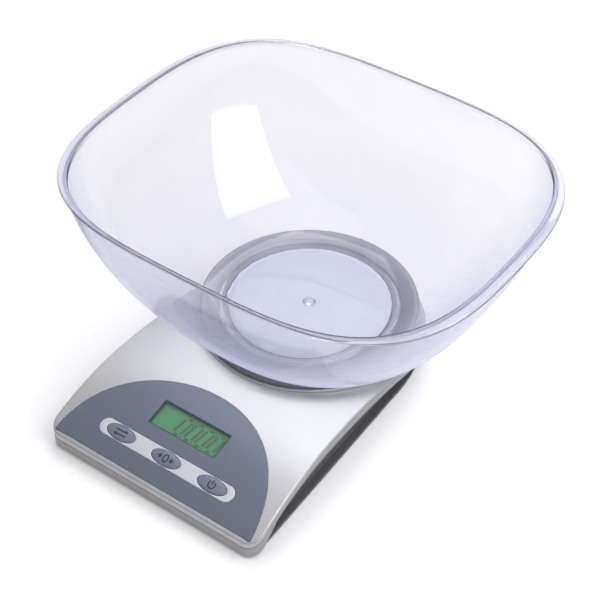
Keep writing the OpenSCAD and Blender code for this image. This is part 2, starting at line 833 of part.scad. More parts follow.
module bowl() {
    under_rim = bowl_rim_h - bowl_lip_t;
    outer = concat(
        [round_ring(bowl_foot_r - 0.6, bowl_bottom_h + bowl_foot_h), round_ring(bowl_foot_r, bowl_bottom_h),
         round_ring(bowl_floor_r - 0.8, bowl_bottom_h), round_ring(bowl_floor_r, bowl_bottom_h + 0.8)],
        [round_ring(bowl_floor_r + 0.6, bowl_turn_h - 0.2)],
        past_floor(wall_rings(bowl_w / 2 + bowl_wall, bowl_d / 2 + bowl_wall, bowl_wall_r,
            bowl_turn_h, under_rim)));
    rim = [rim_ring(bowl_flange_w - 0.3, bowl_end_extra - 0.1, under_rim - 0.1, flange_droop),
        rim_ring(bowl_flange_w, bowl_end_extra, under_rim + 0.4, flange_droop),
        rim_ring(bowl_flange_w - 0.3, bowl_end_extra - 0.3, bowl_rim_h - 0.4, flange_droop),
        rim_ring(bowl_flange_w - 1.5, bowl_end_extra - 0.8, bowl_rim_h, flange_droop * 0.7),
        rim_ring(0.4, 0.4, bowl_rim_h, 0)];
    inner = concat(
        turned(wall_rings(bowl_w / 2, bowl_d / 2, bowl_wall_r - 0.8,
            bowl_turn_h + bowl_wall * 0.6, bowl_rim_h - 0.4)),
        [round_ring(bowl_floor_r - 3.4, bowl_bottom_h + bowl_foot_h + bowl_floor_t)]);
    rings = concat(outer, rim, inner);
    last = len(rings) - 1;
    walls = [for (i = [0 : last - 1], k = [0 : bowl_sides - 1]) let (n = (k + 1) % bowl_sides) each
        [[i * bowl_sides + k, (i + 1) * bowl_sides + n, i * bowl_sides + n],
         [i * bowl_sides + k, (i + 1) * bowl_sides + k, (i + 1) * bowl_sides + n]]];
    bottom = [for (k = [0 : bowl_sides - 1]) k];
    floor_top = [for (k = [bowl_sides - 1 : -1 : 0]) last * bowl_sides + k];
    to_frame() color("#c9cbe6", 0.45) at_platform()
        polyhedron(points = [for (r = rings) each r], faces = concat(walls, [bottom], [floor_top]));
}

// ---- Power and wiring ----
module battery() {
    to_frame() color("#3a3d44") translate([0, battery_y, 0]) {
        box_at(battery_size, battery_bottom_h);
        for (side = [-1, 1])
            translate([battery_size[0] / 2, side * terminal_y, battery_bottom_h + battery_size[2] / 2])
                rotate([0, 90, 0]) cylinder(r = terminal_r, h = terminal_h);
    }
}

module battery_snap() {
    to_frame() color("#1d1d1f")
        translate([snap_x, battery_y - snap_size[1] / 2, battery_bottom_h + snap_lift]) cube(snap_size);
}

module battery_leads() {
    start_x = snap_x + snap_size[0] / 2;
    start_h = battery_bottom_h + snap_lift + snap_size[2] + 2 * fit_gap;
    end_h = arch_z(panel_mid_y) - 2.8;
    to_frame() color("#a02828") for (side = [-1, 1]) wire([
        [start_x, battery_y + side * 3, start_h],
        [start_x + side * 1.5, battery_y + side * 3, start_h + 2.3],
        [start_x + 1 + side * 1.5, battery_y - 8, start_h + 3.2],
        [start_x + 2 + side * 1.5, battery_y - 15, start_h + 2],
        [start_x + 3 + side * 1.5, battery_y - 22.4, end_h]], lead_r, [1, 0, 0]);
}

module cell_cable() {
    to_frame() color("#4a4a4e") wire([
        [cell_w / 2 + 1.1, platform_y + 8, cell_top_h - 4],
        [cell_w / 2 + 3, platform_y, cell_top_h - 8],
        [cell_w / 2 + 8, platform_y - 22, 7],
        [30, platform_y - 42, 7],
        [39, battery_y + 12, 7],
        [41, battery_y - 6, 10],
        [41, battery_y - 16, 14],
        [40, battery_y - 21, arch_z(panel_mid_y) - 3.3]], cable_r, [0.2, 0.1, 1]);
}

module door_pins(gap) {
    pin_l = door_arm_w + 2 * (knuckle_w - door_gap + gap);
    translate([0, door_axis_y, door_axis_h]) both_sides() translate([door_arm_x - pin_l / 2, 0, 0])
        rotate([0, 90, 0]) cylinder(r = door_pin_r + gap, h = pin_l);
}

module battery_door() {
    to_frame() color("#4a4a4e") {
        translate([-door_w / 2, door_y0, foot_h]) cube([door_w, door_y1 - door_y0, door_t]);
        both_sides() {
            translate([door_arm_x - door_arm_w / 2, door_y1 - cut_over, foot_h + thread_gap])
                cube([door_arm_w, door_axis_y - door_y1 + cut_over, door_t - thread_gap]);
            translate([door_arm_x - door_arm_w / 2, door_axis_y, door_axis_h]) rotate([0, 90, 0])
                cylinder(r = door_knuckle_r, h = door_arm_w);
        }
        door_pins(0);
    }
}

top_cover();
edge_band();
bottom_housing();
control_panel();
button_strip();
unit_button();
tare_button();
power_button();
display_window();
lcd_glass();
lcd_digits();
lcd_backlight();
lcd_frame();
lcd_connector();
main_board();
chip_cover();
tact_switches();
board_screws();
load_cell();
gauge_coat();
cell_spacer();
cell_screws();
platform_carrier();
carrier_screws();
platform();
platform_screws();
bowl();
battery();
battery_snap();
battery_leads();
cell_cable();
battery_door();
housing_screws();
rubber_feet();
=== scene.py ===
import math

import bmesh
import bpy
import numpy as np
from mathutils import Matrix, Vector
from mathutils.geometry import delaunay_2d_cdt


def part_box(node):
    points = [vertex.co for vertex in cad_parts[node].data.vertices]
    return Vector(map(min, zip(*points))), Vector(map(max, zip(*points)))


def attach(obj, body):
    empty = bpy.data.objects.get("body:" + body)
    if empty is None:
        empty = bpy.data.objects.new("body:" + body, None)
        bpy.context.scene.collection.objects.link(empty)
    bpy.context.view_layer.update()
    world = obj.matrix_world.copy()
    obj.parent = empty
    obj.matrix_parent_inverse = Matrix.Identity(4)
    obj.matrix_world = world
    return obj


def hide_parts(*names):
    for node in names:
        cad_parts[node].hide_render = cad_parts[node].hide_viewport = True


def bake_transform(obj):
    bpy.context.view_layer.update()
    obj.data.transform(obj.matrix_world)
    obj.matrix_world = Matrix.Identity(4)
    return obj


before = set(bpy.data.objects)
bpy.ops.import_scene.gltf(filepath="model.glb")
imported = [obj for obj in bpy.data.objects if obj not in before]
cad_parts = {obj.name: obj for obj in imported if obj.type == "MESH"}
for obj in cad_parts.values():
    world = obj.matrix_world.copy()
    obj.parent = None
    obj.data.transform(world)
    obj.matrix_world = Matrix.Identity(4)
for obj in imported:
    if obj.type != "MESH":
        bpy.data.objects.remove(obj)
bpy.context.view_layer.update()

# ---- Sizes in millimetres. Y is measured from the base's front edge, as the design does ----
FRONT_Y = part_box("edge_band")[0][1] * 1000
BASE_W = 140.0
BASE_L = 216.0
BASE_TAPER = 10.2
CORNER_R = 8.0
FRONT_TOP = 11.6
CROWN_H = 28.2
CROWN_Y = 68.0
REAR_TOP = 9.6
WALL = 2.0
EDGE_BOTTOM = 1.5
SIDE_EDGE = 6.1
REAR_START = BASE_L * 0.625
REAR_POWER = 2.2
FRONT_LIP, SIDE_LIP, REAR_LIP = 3.7, 1.4, 2.0
FRONT_EASE, REAR_EASE = 20.0, 45.0

PLATFORM_Y = 143.0
PLATFORM_R = 62.0
PLATFORM_TOP = 36.1
PLATFORM_WALL = 2.0
DISH_H = 32.6
DISH_R = PLATFORM_R - 11.5
BOSS_R = 4.0
BOSS_PASS_R = BOSS_R + 1
BOSS_RING = DISH_R - 12.5
BOSS_ANGLES = (45, 135, 225, 315)
COLLAR_R = PLATFORM_R + 1.5
COLLAR_TOP = 28.9
COLLAR_GAP = 0.6

PANEL_R = 66.0
PANEL_CY = -5.0
PANEL_FRONT = 2.1
PANEL_T = 0.8
PANEL_PROUD = 0.1
PANEL_FLOOR = -PANEL_T + 0.05
STRIP_PROUD = 0.25
PANEL_MID_Y = 28.0
DISPLAY_MID_Y = 35.9
DISPLAY_SIZE = (44.4, 16.0)
STRIP_SIZE = (89.4, 9.6)
BUTTON_SIZE = (18.4, 8.0)
BUTTON_PITCH = 30.6
BUTTON_V = -12.6
BUTTON_GAP = 0.6
FIT = 0.15
FEET_AT = ((BASE_W / 2 - 20, 31), (BASE_W / 2 - 30, BASE_L - 38))

BOWL_W, BOWL_D = 238.0, 202.0
BOWL_RIM = 126.6
BOWL_WALL = 2.0
BOWL_FLANGE = 6.5
BOWL_END = 2.2
BOWL_POWERS = (3.5, 2.95)
BOWL_CURVES = (1.64, 1.79)
BOWL_SQUARE_RATE = 0.72
BOWL_DROOP = 1.4
BOWL_FLOOR_R = DISH_R - 0.3

front_drop = CROWN_H - FRONT_TOP
FRONT_ARC_R = (CROWN_Y ** 2 + front_drop ** 2) / (2 * front_drop)
rear_run = BASE_L - CROWN_Y
rear_drop = CROWN_H - REAR_TOP
rear_arc_sum = (rear_run ** 2 + rear_drop ** 2) / (2 * rear_drop)
REAR_SHARE = 0.6


def arc_sag(r, d):
    return r - math.sqrt(r * r - d * d)


def arch_z(y):
    """Height of the cover's top above the table, at y from the front edge."""
    y = min(max(y, 0), BASE_L)
    if y <= CROWN_Y:
        return CROWN_H - arc_sag(FRONT_ARC_R, CROWN_Y - y)
    if y <= CROWN_Y + rear_run * REAR_SHARE:
        return CROWN_H - arc_sag(rear_arc_sum * REAR_SHARE, y - CROWN_Y)
    return REAR_TOP + arc_sag(rear_arc_sum * (1 - REAR_SHARE), BASE_L - y)


def front_fade(y):
    return max(0, 1 - y / FRONT_EASE)


def rear_fade(y):
    return max(0, 1 - (BASE_L - y) / REAR_EASE)


def seam_z(y):
    """Height of the seam between the cover's lip and the band below it."""
    lip = SIDE_LIP + (FRONT_LIP - SIDE_LIP) * front_fade(y) + (REAR_LIP - SIDE_LIP) * rear_fade(y)
    return arch_z(y) - lip


def edge_z(y):
    """Height of the band's lower edge."""
    rise = arch_z(y) - SIDE_EDGE - EDGE_BOTTOM
    return EDGE_BOTTOM + rise * (1 - front_fade(y)) * (1 - rear_fade(y))


# ---- Outlines: closed lists of (x, y) ----
def outline(inset):
    """The base seen from above, moved inwards by inset."""
    def side_x(y):
        return BASE_W / 2 - inset - BASE_TAPER / 2 * y / REAR_START

    r = CORNER_R - inset * 0.6
    corner_x = side_x(r) - r
    half = [(corner_x * k / 14, inset) for k in range(15)]
    half += [(corner_x + r * math.sin(a), inset + r - r * math.cos(a))
             for a in (math.radians(9 * k) for k in range(1, 10))]
    start = inset + r
    half += [(side_x(y), y) for y in (start + (REAR_START - start) * k / 44 for k in range(44))]
    power = 2 / REAR_POWER
    half += [(side_x(REAR_START) * math.cos(a) ** power,
              REAR_START + (BASE_L - inset - REAR_START) * math.sin(a) ** power)
             for a in (math.radians(90 * k / 48) for k in range(48))]
    half.append((0.0, BASE_L - inset))
    return half + [(-x, y) for x, y in half[-2:0:-1]]


def circle(r, n=160, centre=(0.0, PLATFORM_Y)):
    return [(centre[0] + r * math.cos(2 * math.pi * k / n), centre[1] + r * math.sin(2 * math.pi * k / n))
            for k in range(n)]


def boss_centres():
    """Where the platform's four bosses stand."""
    return [(BOSS_RING * math.cos(math.radians(a)), PLATFORM_Y + BOSS_RING * math.sin(math.radians(a)))
            for a in BOSS_ANGLES]


def panel_outline(grow):
    """The control panel: a disc cut straight along its front."""
    r = PANEL_R + grow
    front = PANEL_FRONT - grow
    start = math.asin((front - PANEL_CY) / r)
    steps = 120
    arc = [(r * math.cos(a), PANEL_CY + r * math.sin(a))
           for a in (start + (math.pi - 2 * start) * k / steps for k in range(steps + 1))]
    edge = arc[0][0]
    return arc + [(-edge + 2 * edge * k / 24, front) for k in range(1, 24)]


def rounded_box(w, d, r, n=6):
    corners = [(w / 2 - r, d / 2 - r, 0), (r - w / 2, d / 2 - r, 90),
               (r - w / 2, r - d / 2, 180), (w / 2 - r, r - d / 2, 270)]
    return [(cx + r * math.cos(a), cy + r * math.sin(a))
            for cx, cy, turn in corners
            for a in (math.radians(turn + 90 * k / n) for k in range(n + 1))]


def pill(w, d, n=16, straight=20):
    r = d / 2
    half = w / 2 - r
    right = [(half + r * math.cos(a), r * math.sin(a))
             for a in (math.radians(-90 + 180 * k / n) for k in range(n + 1))]
    top = [(half - 2 * half * k / straight, r) for k in range(1, straight)]
    return right + top + [(-x, -y) for x, y in right] + [(-x, -y) for x, y in top]


def oval(w, d, n=64):
    return [(w / 2 * math.cos(2 * math.pi * k / n), d / 2 * math.sin(2 * math.pi * k / n)) for k in range(n)]


# ---- Panel frames: u along the front edge, v up the arch, w out of it ----
class Tangent:
    """A plane that touches the front arch at y = mid."""

    def __init__(self, mid):
        self.mid = mid
        self.tilt = math.asin((CROWN_Y - mid) / FRONT_ARC_R)

    def out(self, u, v, w):
        c, s = math.cos(self.tilt), math.sin(self.tilt)
        return (u, self.mid + v * c - w * s, arch_z(self.mid) + v * s + w * c)

    def on_arch(self, u, v, lift=0.0):
        """The point over (u, v) that stands lift above the arch."""
        return self.out(u, v, lift - arc_sag(FRONT_ARC_R, v))

    def ring(self, shape, lift, centre=(0.0, 0.0)):
        return [self.on_arch(u + centre[0], v + centre[1], lift) for u, v in shape]


panel_plane = Tangent(PANEL_MID_Y)
display_plane = Tangent(DISPLAY_MID_Y)


# ---- Mesh building ----
class Shell:
    """Rings of points, in millimetres with Y from the base's front edge, joined into one mesh."""

    def __init__(self):
        self.points = []
        self.faces = []
        self.slots = []
        self.slot = 0

    def add(self, face):
        self.faces.append(tuple(face))
        self.slots.append(self.slot)

    def ring(self, points):
        start = len(self.points)
        self.points += [tuple(p) for p in points]
        return list(range(start, len(self.points)))

    def lift(self, shape, height):
        """A ring over a plan outline; height is a number or a function of y."""
        z = height if callable(height) else (lambda y: height)
        return self.ring([(x, y, z(y)) for x, y in shape])

    def bridge(self, a, b):
        n = len(a)
        for i in range(n):
            j = (i + 1) % n
            self.add((a[i], a[j], b[j], b[i]))

    def loft(self, rings):
        for a, b in zip(rings, rings[1:]):
            self.bridge(a, b)

    def sheet(self, rings, height, spacing=4.0, up=True):
        """Fills between the rings (outer first, then holes), seen from above."""
        ids = [i for ring in rings for i in ring]
        flat = np.array([self.points[i][:2] for i in ids])
        lo, hi = flat.min(0), flat.max(0)
        xs = np.arange(lo[0] + spacing / 2, hi[0], spacing)
        ys = np.arange(lo[1] + spacing / 2, hi[1], spacing)
        grid = np.array([(x, y) for y in ys for x in xs]).reshape(-1, 2)
        loops = [np.array([self.points[i][:2] for i in ring]) for ring in rings]
        if len(grid):
            gap = np.sqrt(((grid[:, None] - flat[None]) ** 2).sum(2)).min(1)
            grid = grid[inside(grid, loops) & (gap > spacing * 0.55)]
        new = self.ring([(x, y, height(y)) for x, y in grid])
        ids += new
        edges = []
        start = 0
        for ring in rings:
            n = len(ring)
            edges += [(start + k, start + (k + 1) % n) for k in range(n)]
            start += n
        coords = [Vector(p) for p in flat] + [Vector(p) for p in grid]
        verts, _, faces, origin, _, _ = delaunay_2d_cdt(coords, edges, [], 0, 1e-5)
        middles = np.array([sum((verts[i] for i in f), Vector((0, 0))) / 3 for f in faces])
        keep = inside(middles, loops)
        for face, kept in zip(faces, keep):
            if kept and all(origin[i] for i in face):
                tri = [ids[origin[i][0]] for i in face]
                self.add(tri if up else tri[::-1])

    def mesh(self, name, sharp=35.0):
        mesh = bpy.data.meshes.new(name)
        points = [(x / 1000, (y + FRONT_Y) / 1000, z / 1000) for x, y, z in self.points]
        mesh.from_pydata(points, [], self.faces)
        mesh.polygons.foreach_set("material_index", self.slots)
        work = bmesh.new()
        work.from_mesh(mesh)
        bmesh.ops.recalc_face_normals(work, faces=work.faces)
        work.to_mesh(mesh)
        work.free()
        mesh.polygons.foreach_set("use_smooth", [True] * len(mesh.polygons))
        mesh.set_sharp_from_angle(angle=math.radians(sharp))
        return mesh


def inside(points, loops):
    """Which points have an odd number of loop crossings to their right."""
    odd = np.zeros(len(points), bool)
    x, y = points[:, 0], points[:, 1]
    for loop in loops:
        a, b = loop, np.roll(loop, -1, 0)
        for (ax, ay), (bx, by) in zip(a, b):
            if ay == by:
                continue
            hit = ((ay > y) != (by > y)) & (x < ax + (y - ay) * (bx - ax) / (by - ay))
            odd ^= hit
    return odd


def piece(name, shell, body, replaces, slot, *materials, sharp=35.0):
    """Makes an object of the shell, on its body, in place of the named CAD nodes."""
    obj = bpy.data.objects.new(name, shell.mesh(name, sharp))
    bpy.context.scene.collection.objects.link(obj)
    for material in materials:
        obj.data.materials.append(material)
    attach(obj, body)
    if replaces:
        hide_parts(*replaces)
    return obj


def rounding(r, steps=4):
    """Pairs (in, down) along a quarter round, from the wall to the top."""
    return [(r * (1 - math.cos(a)), r * (1 - math.sin(a)))
            for a in (math.pi / 2 * k / steps for k in range(steps + 1))]


# ---- Materials ----
class Look:
    """A node material around one Principled shader."""

    def __init__(self, name, colour, rough, metallic=0.0):
        self.material = bpy.data.materials.new(name)
        self.material.use_nodes = True
        self.nodes = self.material.node_tree.nodes
        self.links = self.material.node_tree.links
        self.shader = self.nodes["Principled BSDF"]
        self.shader.inputs["Base Color"].default_value = (*colour, 1)
        self.shader.inputs["Roughness"].default_value = rough
        self.shader.inputs["Metallic"].default_value = metallic
        self.where = self.nodes.new("ShaderNodeTexCoord").outputs["Object"]

    def set(self, **values):
        for key, value in values.items():
            self.shader.inputs[key.replace("_", " ")].default_value = value
        return self

    def noise(self, scale, detail=3.0, stretch=(1, 1, 1)):
        mapping = self.nodes.new("ShaderNodeMapping")
        mapping.inputs["Scale"].default_value = stretch
        self.links.new(self.where, mapping.inputs["Vector"])
        noise = self.nodes.new("ShaderNodeTexNoise")
        noise.inputs["Scale"].default_value = scale
        noise.inputs["Detail"].default_value = detail
        self.links.new(mapping.outputs["Vector"], noise.inputs["Vector"])
        return noise.outputs["Fac"]

    def ramp(self, factor, stops):
        ramp = self.nodes.new("ShaderNodeValToRGB")
        elements = ramp.color_ramp.elements
        while len(elements) < len(stops):
            elements.new(0.5)
        for element, (at, colour) in zip(elements, stops):
            element.position = at
            element.color = (*colour, 1) if len(colour) == 3 else colour
        self.links.new(factor, ramp.inputs["Fac"])
        return ramp.outputs["Color"]

    def colour(self, output):
        self.links.new(output, self.shader.inputs["Base Color"])
        return self

    def rough(self, factor, low, high):
        span = self.nodes.new("ShaderNodeMapRange")
        span.inputs["To Min"].default_value = low
        span.inputs["To Max"].default_value = high
        self.links.new(factor, span.inputs["Value"])
        self.links.new(span.outputs["Result"], self.shader.inputs["Roughness"])
        return self

    def bump(self, factor, strength, depth):
        bump = self.nodes.new("ShaderNodeBump")
        bump.inputs["Strength"].default_value = strength
        bump.inputs["Distance"].default_value = depth
        self.links.new(factor, bump.inputs["Height"])
        self.links.new(bump.outputs["Normal"], self.shader.inputs["Normal"])
        return self


def speckled(name, low, high, rough, metallic, scale, grain=0.12, stretch=(1, 1, 1)):
    """Paint or plastic with a fine grain in colour, gloss and surface."""
    look = Look(name, low, rough, metallic)
    fine = look.noise(scale, 4.0, stretch)
    look.colour(look.ramp(fine, [(0.3, low), (0.7, high)]))
    look.rough(fine, rough * 0.88, rough * 1.12)
    return look.bump(fine, grain, 0.00004)


cover_paint = speckled("cover_paint", (0.41, 0.41, 0.418), (0.455, 0.455, 0.463), 0.38, 0.7, 2600)
band_paint = speckled("band_paint", (0.30, 0.30, 0.305), (0.35, 0.35, 0.355), 0.42, 0.5, 2600)
housing_plastic = speckled("housing_plastic", (0.06, 0.06, 0.063), (0.085, 0.085, 0.09), 0.55, 0.0, 1500, 0.3)
panel_paint = speckled("panel_paint", (0.10, 0.118, 0.158), (0.115, 0.133, 0.174), 0.42, 0.2, 2400)
strip_paint = speckled("strip_paint", (0.50, 0.51, 0.54), (0.55, 0.56, 0.59), 0.38, 0.3, 2600)
button_plastic = speckled("button_plastic", (0.13, 0.145, 0.20), (0.15, 0.165, 0.222), 0.36, 0.1, 2000)
platform_plastic = speckled("platform_plastic", (0.22, 0.225, 0.245), (0.25, 0.255, 0.275), 0.36, 0.3, 2000)
legend_ink = speckled("legend_ink", (0.008, 0.012, 0.035), (0.014, 0.018, 0.045), 0.5, 0.0, 3000)
rubber = speckled("foot_rubber", (0.018, 0.018, 0.019), (0.032, 0.032, 0.034), 0.75, 0.0, 1800, 0.4)
steel = speckled("screw_steel", (0.42, 0.42, 0.43), (0.55, 0.55, 0.56), 0.3, 1.0, 900, 0.15, (1, 1, 6))
sheet_steel = speckled("sheet_steel", (0.46, 0.46, 0.47), (0.56, 0.56, 0.57), 0.36, 1.0, 500, 0.2, (1, 12, 1))
aluminium = speckled("milled_aluminium", (0.68, 0.69, 0.70), (0.80, 0.81, 0.82), 0.34, 1.0, 700, 0.25,
                     (14, 1, 1))
lacquer = speckled("gauge_lacquer", (0.72, 0.70, 0.62), (0.82, 0.80, 0.72), 0.28, 0.0, 260, 0.5)
board_mask = speckled("board_mask", (0.012, 0.10, 0.045), (0.02, 0.15, 0.065), 0.3, 0.0, 420, 0.3, (1, 9, 1))
black_resin = speckled("black_resin", (0.012, 0.012, 0.013), (0.026, 0.026, 0.028), 0.35, 0.0, 900, 0.3)
white_plastic = speckled("white_plastic", (0.70, 0.70, 0.68), (0.78, 0.78, 0.76), 0.42, 0.0, 1600, 0.2)
light_guide = speckled("light_guide", (0.30, 0.62, 0.34), (0.38, 0.72, 0.42), 0.25, 0.0, 800, 0.2)
zebra_strip = speckled("zebra_strip", (0.05, 0.05, 0.055), (0.62, 0.60, 0.58), 0.6, 0.0, 1200, 0.3,
                       (6, 0.2, 0.2))
cell_case = speckled("battery_jacket", (0.02, 0.035, 0.06), (0.035, 0.055, 0.09), 0.32, 0.3, 600, 0.15,
                     (1, 1, 4))
lead_red = speckled("lead_red", (0.42, 0.012, 0.012), (0.52, 0.02, 0.018), 0.45, 0.0, 1500, 0.2)
cable_grey = speckled("cable_grey", (0.22, 0.22, 0.225), (0.29, 0.29, 0.295), 0.5, 0.0, 1500, 0.25)


def display_looks():
    green = Look("lcd_green", (0.03, 0.17, 0.06), 0.45).set(Specular_IOR_Level=0.1)
    cloud = green.noise(55, 2.0)
    green.colour(green.ramp(cloud, [(0.3, (0.008, 0.14, 0.035)), (0.7, (0.02, 0.185, 0.055))]))
    green.set(Emission_Color=(0.03, 0.20, 0.06, 1), Emission_Strength=0.06)
    segment = speckled("lcd_segment", (0.002, 0.050, 0.018), (0.004, 0.064, 0.024), 0.7, 0.0, 2200)
    border = speckled("lcd_border", (0.003, 0.035, 0.022), (0.006, 0.05, 0.03), 0.35, 0.0, 2200)
    lens = Look("display_lens", (0.8, 0.95, 0.85), 0.04)
    haze = lens.noise(300, 2.0)
    lens.rough(haze, 0.02, 0.06)
    lens.set(Alpha=0.03, Specular_IOR_Level=0.15)
    segment.set(Specular_IOR_Level=0.05)
    return green, segment, border, lens


lcd_green, lcd_segment, lcd_border, display_lens = display_looks()


def clear_plastic(name, tint, shadow_tint, haze_and_reflection_colour, haze, edge_on=(0.35, 1.0, 6.0)):
    """Clear plastic that bends what is seen through it and lets lamp light pass.

    haze lists (height in millimetres, share of haze) from the foot up. The share is multiplied where the
    surface is seen edge-on: edge_on gives where that starts and ends, and by how much. That edge-on share
    stands partly for the longer path through the plastic and partly for painted reflection; where the haze
    colour is dark it paints a dark reflection.
    """
    material = bpy.data.materials.new(name)
    material.use_nodes = True
    nodes, links = material.node_tree.nodes, material.node_tree.links
    shader = nodes["Principled BSDF"]
    for key, value in (("Base Color", (*tint, 1)), ("Roughness", 0.015), ("IOR", 1.45),
                       ("Transmission Weight", 1.0)):
        shader.inputs[key].default_value = value
    haze_and_reflection_shader = nodes.new("ShaderNodeBsdfDiffuse")
    haze_and_reflection_shader.inputs["Color"].default_value = (*haze_and_reflection_colour, 1)
    back_shader = nodes.new("ShaderNodeBsdfTranslucent")
    back_shader.inputs["Color"].default_value = (*haze_and_reflection_colour, 1)
    both = nodes.new("ShaderNodeMixShader")
    links.new(haze_and_reflection_shader.outputs["BSDF"], both.inputs[1])
    links.new(back_shader.outputs["BSDF"], both.inputs[2])
    where = nodes.new("ShaderNodeTexCoord")
    split = nodes.new("ShaderNodeSeparateXYZ")
    links.new(where.outputs["Object"], split.inputs["Vector"])
    height = nodes.new("ShaderNodeMapRange")
    height.inputs["From Min"].default_value = haze[0][0] / 1000
    height.inputs["From Max"].default_value = haze[-1][0] / 1000
    links.new(split.outputs["Z"], height.inputs["Value"])
    share = nodes.new("ShaderNodeValToRGB")
    elements = share.color_ramp.elements
    while len(elements) < len(haze):
        elements.new(0.5)
    span = haze[-1][0] - haze[0][0]
    for element, (z, amount) in zip(elements, haze):
        element.position = (z - haze[0][0]) / span
        element.color = (amount, amount, amount, 1)
    links.new(height.outputs["Result"], share.inputs["Fac"])
    cloud = nodes.new("ShaderNodeTexNoise")
    cloud.inputs["Scale"].default_value = 40
    links.new(where.outputs["Object"], cloud.inputs["Vector"])
    vary = nodes.new("ShaderNodeMapRange")
    vary.inputs["To Min"].default_value = 0.85
    vary.inputs["To Max"].default_value = 1.15
    links.new(cloud.outputs["Fac"], vary.inputs["Value"])
    amount = nodes.new("ShaderNodeMath")
    amount.operation = "MULTIPLY"
    links.new(share.outputs["Color"], amount.inputs[0])
    links.new(vary.outputs["Result"], amount.inputs[1])
    # Seen edge-on the haze grows: partly the longer path through the plastic, partly painted reflection
    weight = nodes.new("ShaderNodeLayerWeight")
    depth = nodes.new("ShaderNodeMapRange")
    depth.inputs["From Min"].default_value = edge_on[0]
    depth.inputs["From Max"].default_value = edge_on[1]
    depth.inputs["To Min"].default_value = 1.0
    depth.inputs["To Max"].default_value = edge_on[2]
    links.new(weight.outputs["Facing"], depth.inputs["Value"])
    total = nodes.new("ShaderNodeMath")
    total.operation = "MULTIPLY"
    total.use_clamp = True
    links.new(amount.outputs["Value"], total.inputs[0])
    links.new(depth.outputs["Result"], total.inputs[1])
    body = nodes.new("ShaderNodeMixShader")
    links.new(total.outputs["Value"], body.inputs["Fac"])
    links.new(shader.outputs["BSDF"], body.inputs[1])
    links.new(both.outputs["Shader"], body.inputs[2])
    path = nodes.new("ShaderNodeLightPath")
    either = nodes.new("ShaderNodeMath")
    either.operation = "MAXIMUM"
    links.new(path.outputs["Is Shadow Ray"], either.inputs[0])
    links.new(path.outputs["Is Diffuse Ray"], either.inputs[1])
    clear = nodes.new("ShaderNodeBsdfTransparent")
    clear.inputs["Color"].default_value = (*shadow_tint, 1)
    mix = nodes.new("ShaderNodeMixShader")
    links.new(either.outputs["Value"], mix.inputs["Fac"])
    links.new(body.outputs["Shader"], mix.inputs[1])
    links.new(clear.outputs["BSDF"], mix.inputs[2])
    links.new(mix.outputs["Shader"], nodes["Material Output"].inputs["Surface"])
    return material


bowl_clear = clear_plastic("bowl_clear", (0.895, 0.886, 0.905), (0.93, 0.93, 0.97), (0.60, 0.61, 0.80),
                           [(DISH_H, 0.10), (48, 0.15), (80, 0.07), (BOWL_RIM, 0.045)], (0.35, 1.0, 9.0))
bowl_floor = clear_plastic("bowl_floor", (0.95, 0.95, 0.985), (0.90, 0.91, 0.97), (0.84, 0.86, 1.0),
                           [(DISH_H, 0.6), (DISH_H + 2.7, 0.56), (DISH_H + 3.4, 0.04), (40, 0.02)])
bowl_flange = clear_plastic("bowl_flange", (0.93, 0.93, 0.955), (0.9, 0.9, 0.95), (0.66, 0.66, 0.76),
                            [(DISH_H, 0.30), (BOWL_RIM, 0.30)], (0.3, 1.0, 2.0))
# Painted dark reflection: a dark haze that grows where the plastic is seen edge-on, standing for the dark
# surroundings that the rim reflects
bowl_dark_reflection = clear_plastic("bowl_dark_reflection", (0.80, 0.80, 0.85), (0.8, 0.8, 0.86), (0.035, 0.033, 0.05),
                         [(DISH_H, 0.06), (BOWL_RIM, 0.06)], (0.42, 0.68, 14.0))


# ---- Casing ----
COVER_ROUND = 0.8
SEAM_DEPTH = 0.8
SEAM_FLARE = 0.42
WINDOW_HOLE = (DISPLAY_SIZE[0] + 4.3, DISPLAY_SIZE[1] + 4.3)
BUTTON_HOLE = (BUTTON_SIZE[0] + 3, BUTTON_SIZE[1] + 3)


def flat_ring(points):
    return [(x, y) for x, y, z in points]


def panel_holes():
    """Plan outlines of what passes through the cover under the panel."""
    holes = [flat_ring(display_plane.ring(rounded_box(*WINDOW_HOLE, 0.8), -PANEL_T))]
    for i in (-1, 0, 1):
        holes.append(flat_ring(panel_plane.ring(oval(*BUTTON_HOLE), -PANEL_T, (i * BUTTON_PITCH, BUTTON_V))))
    return holes


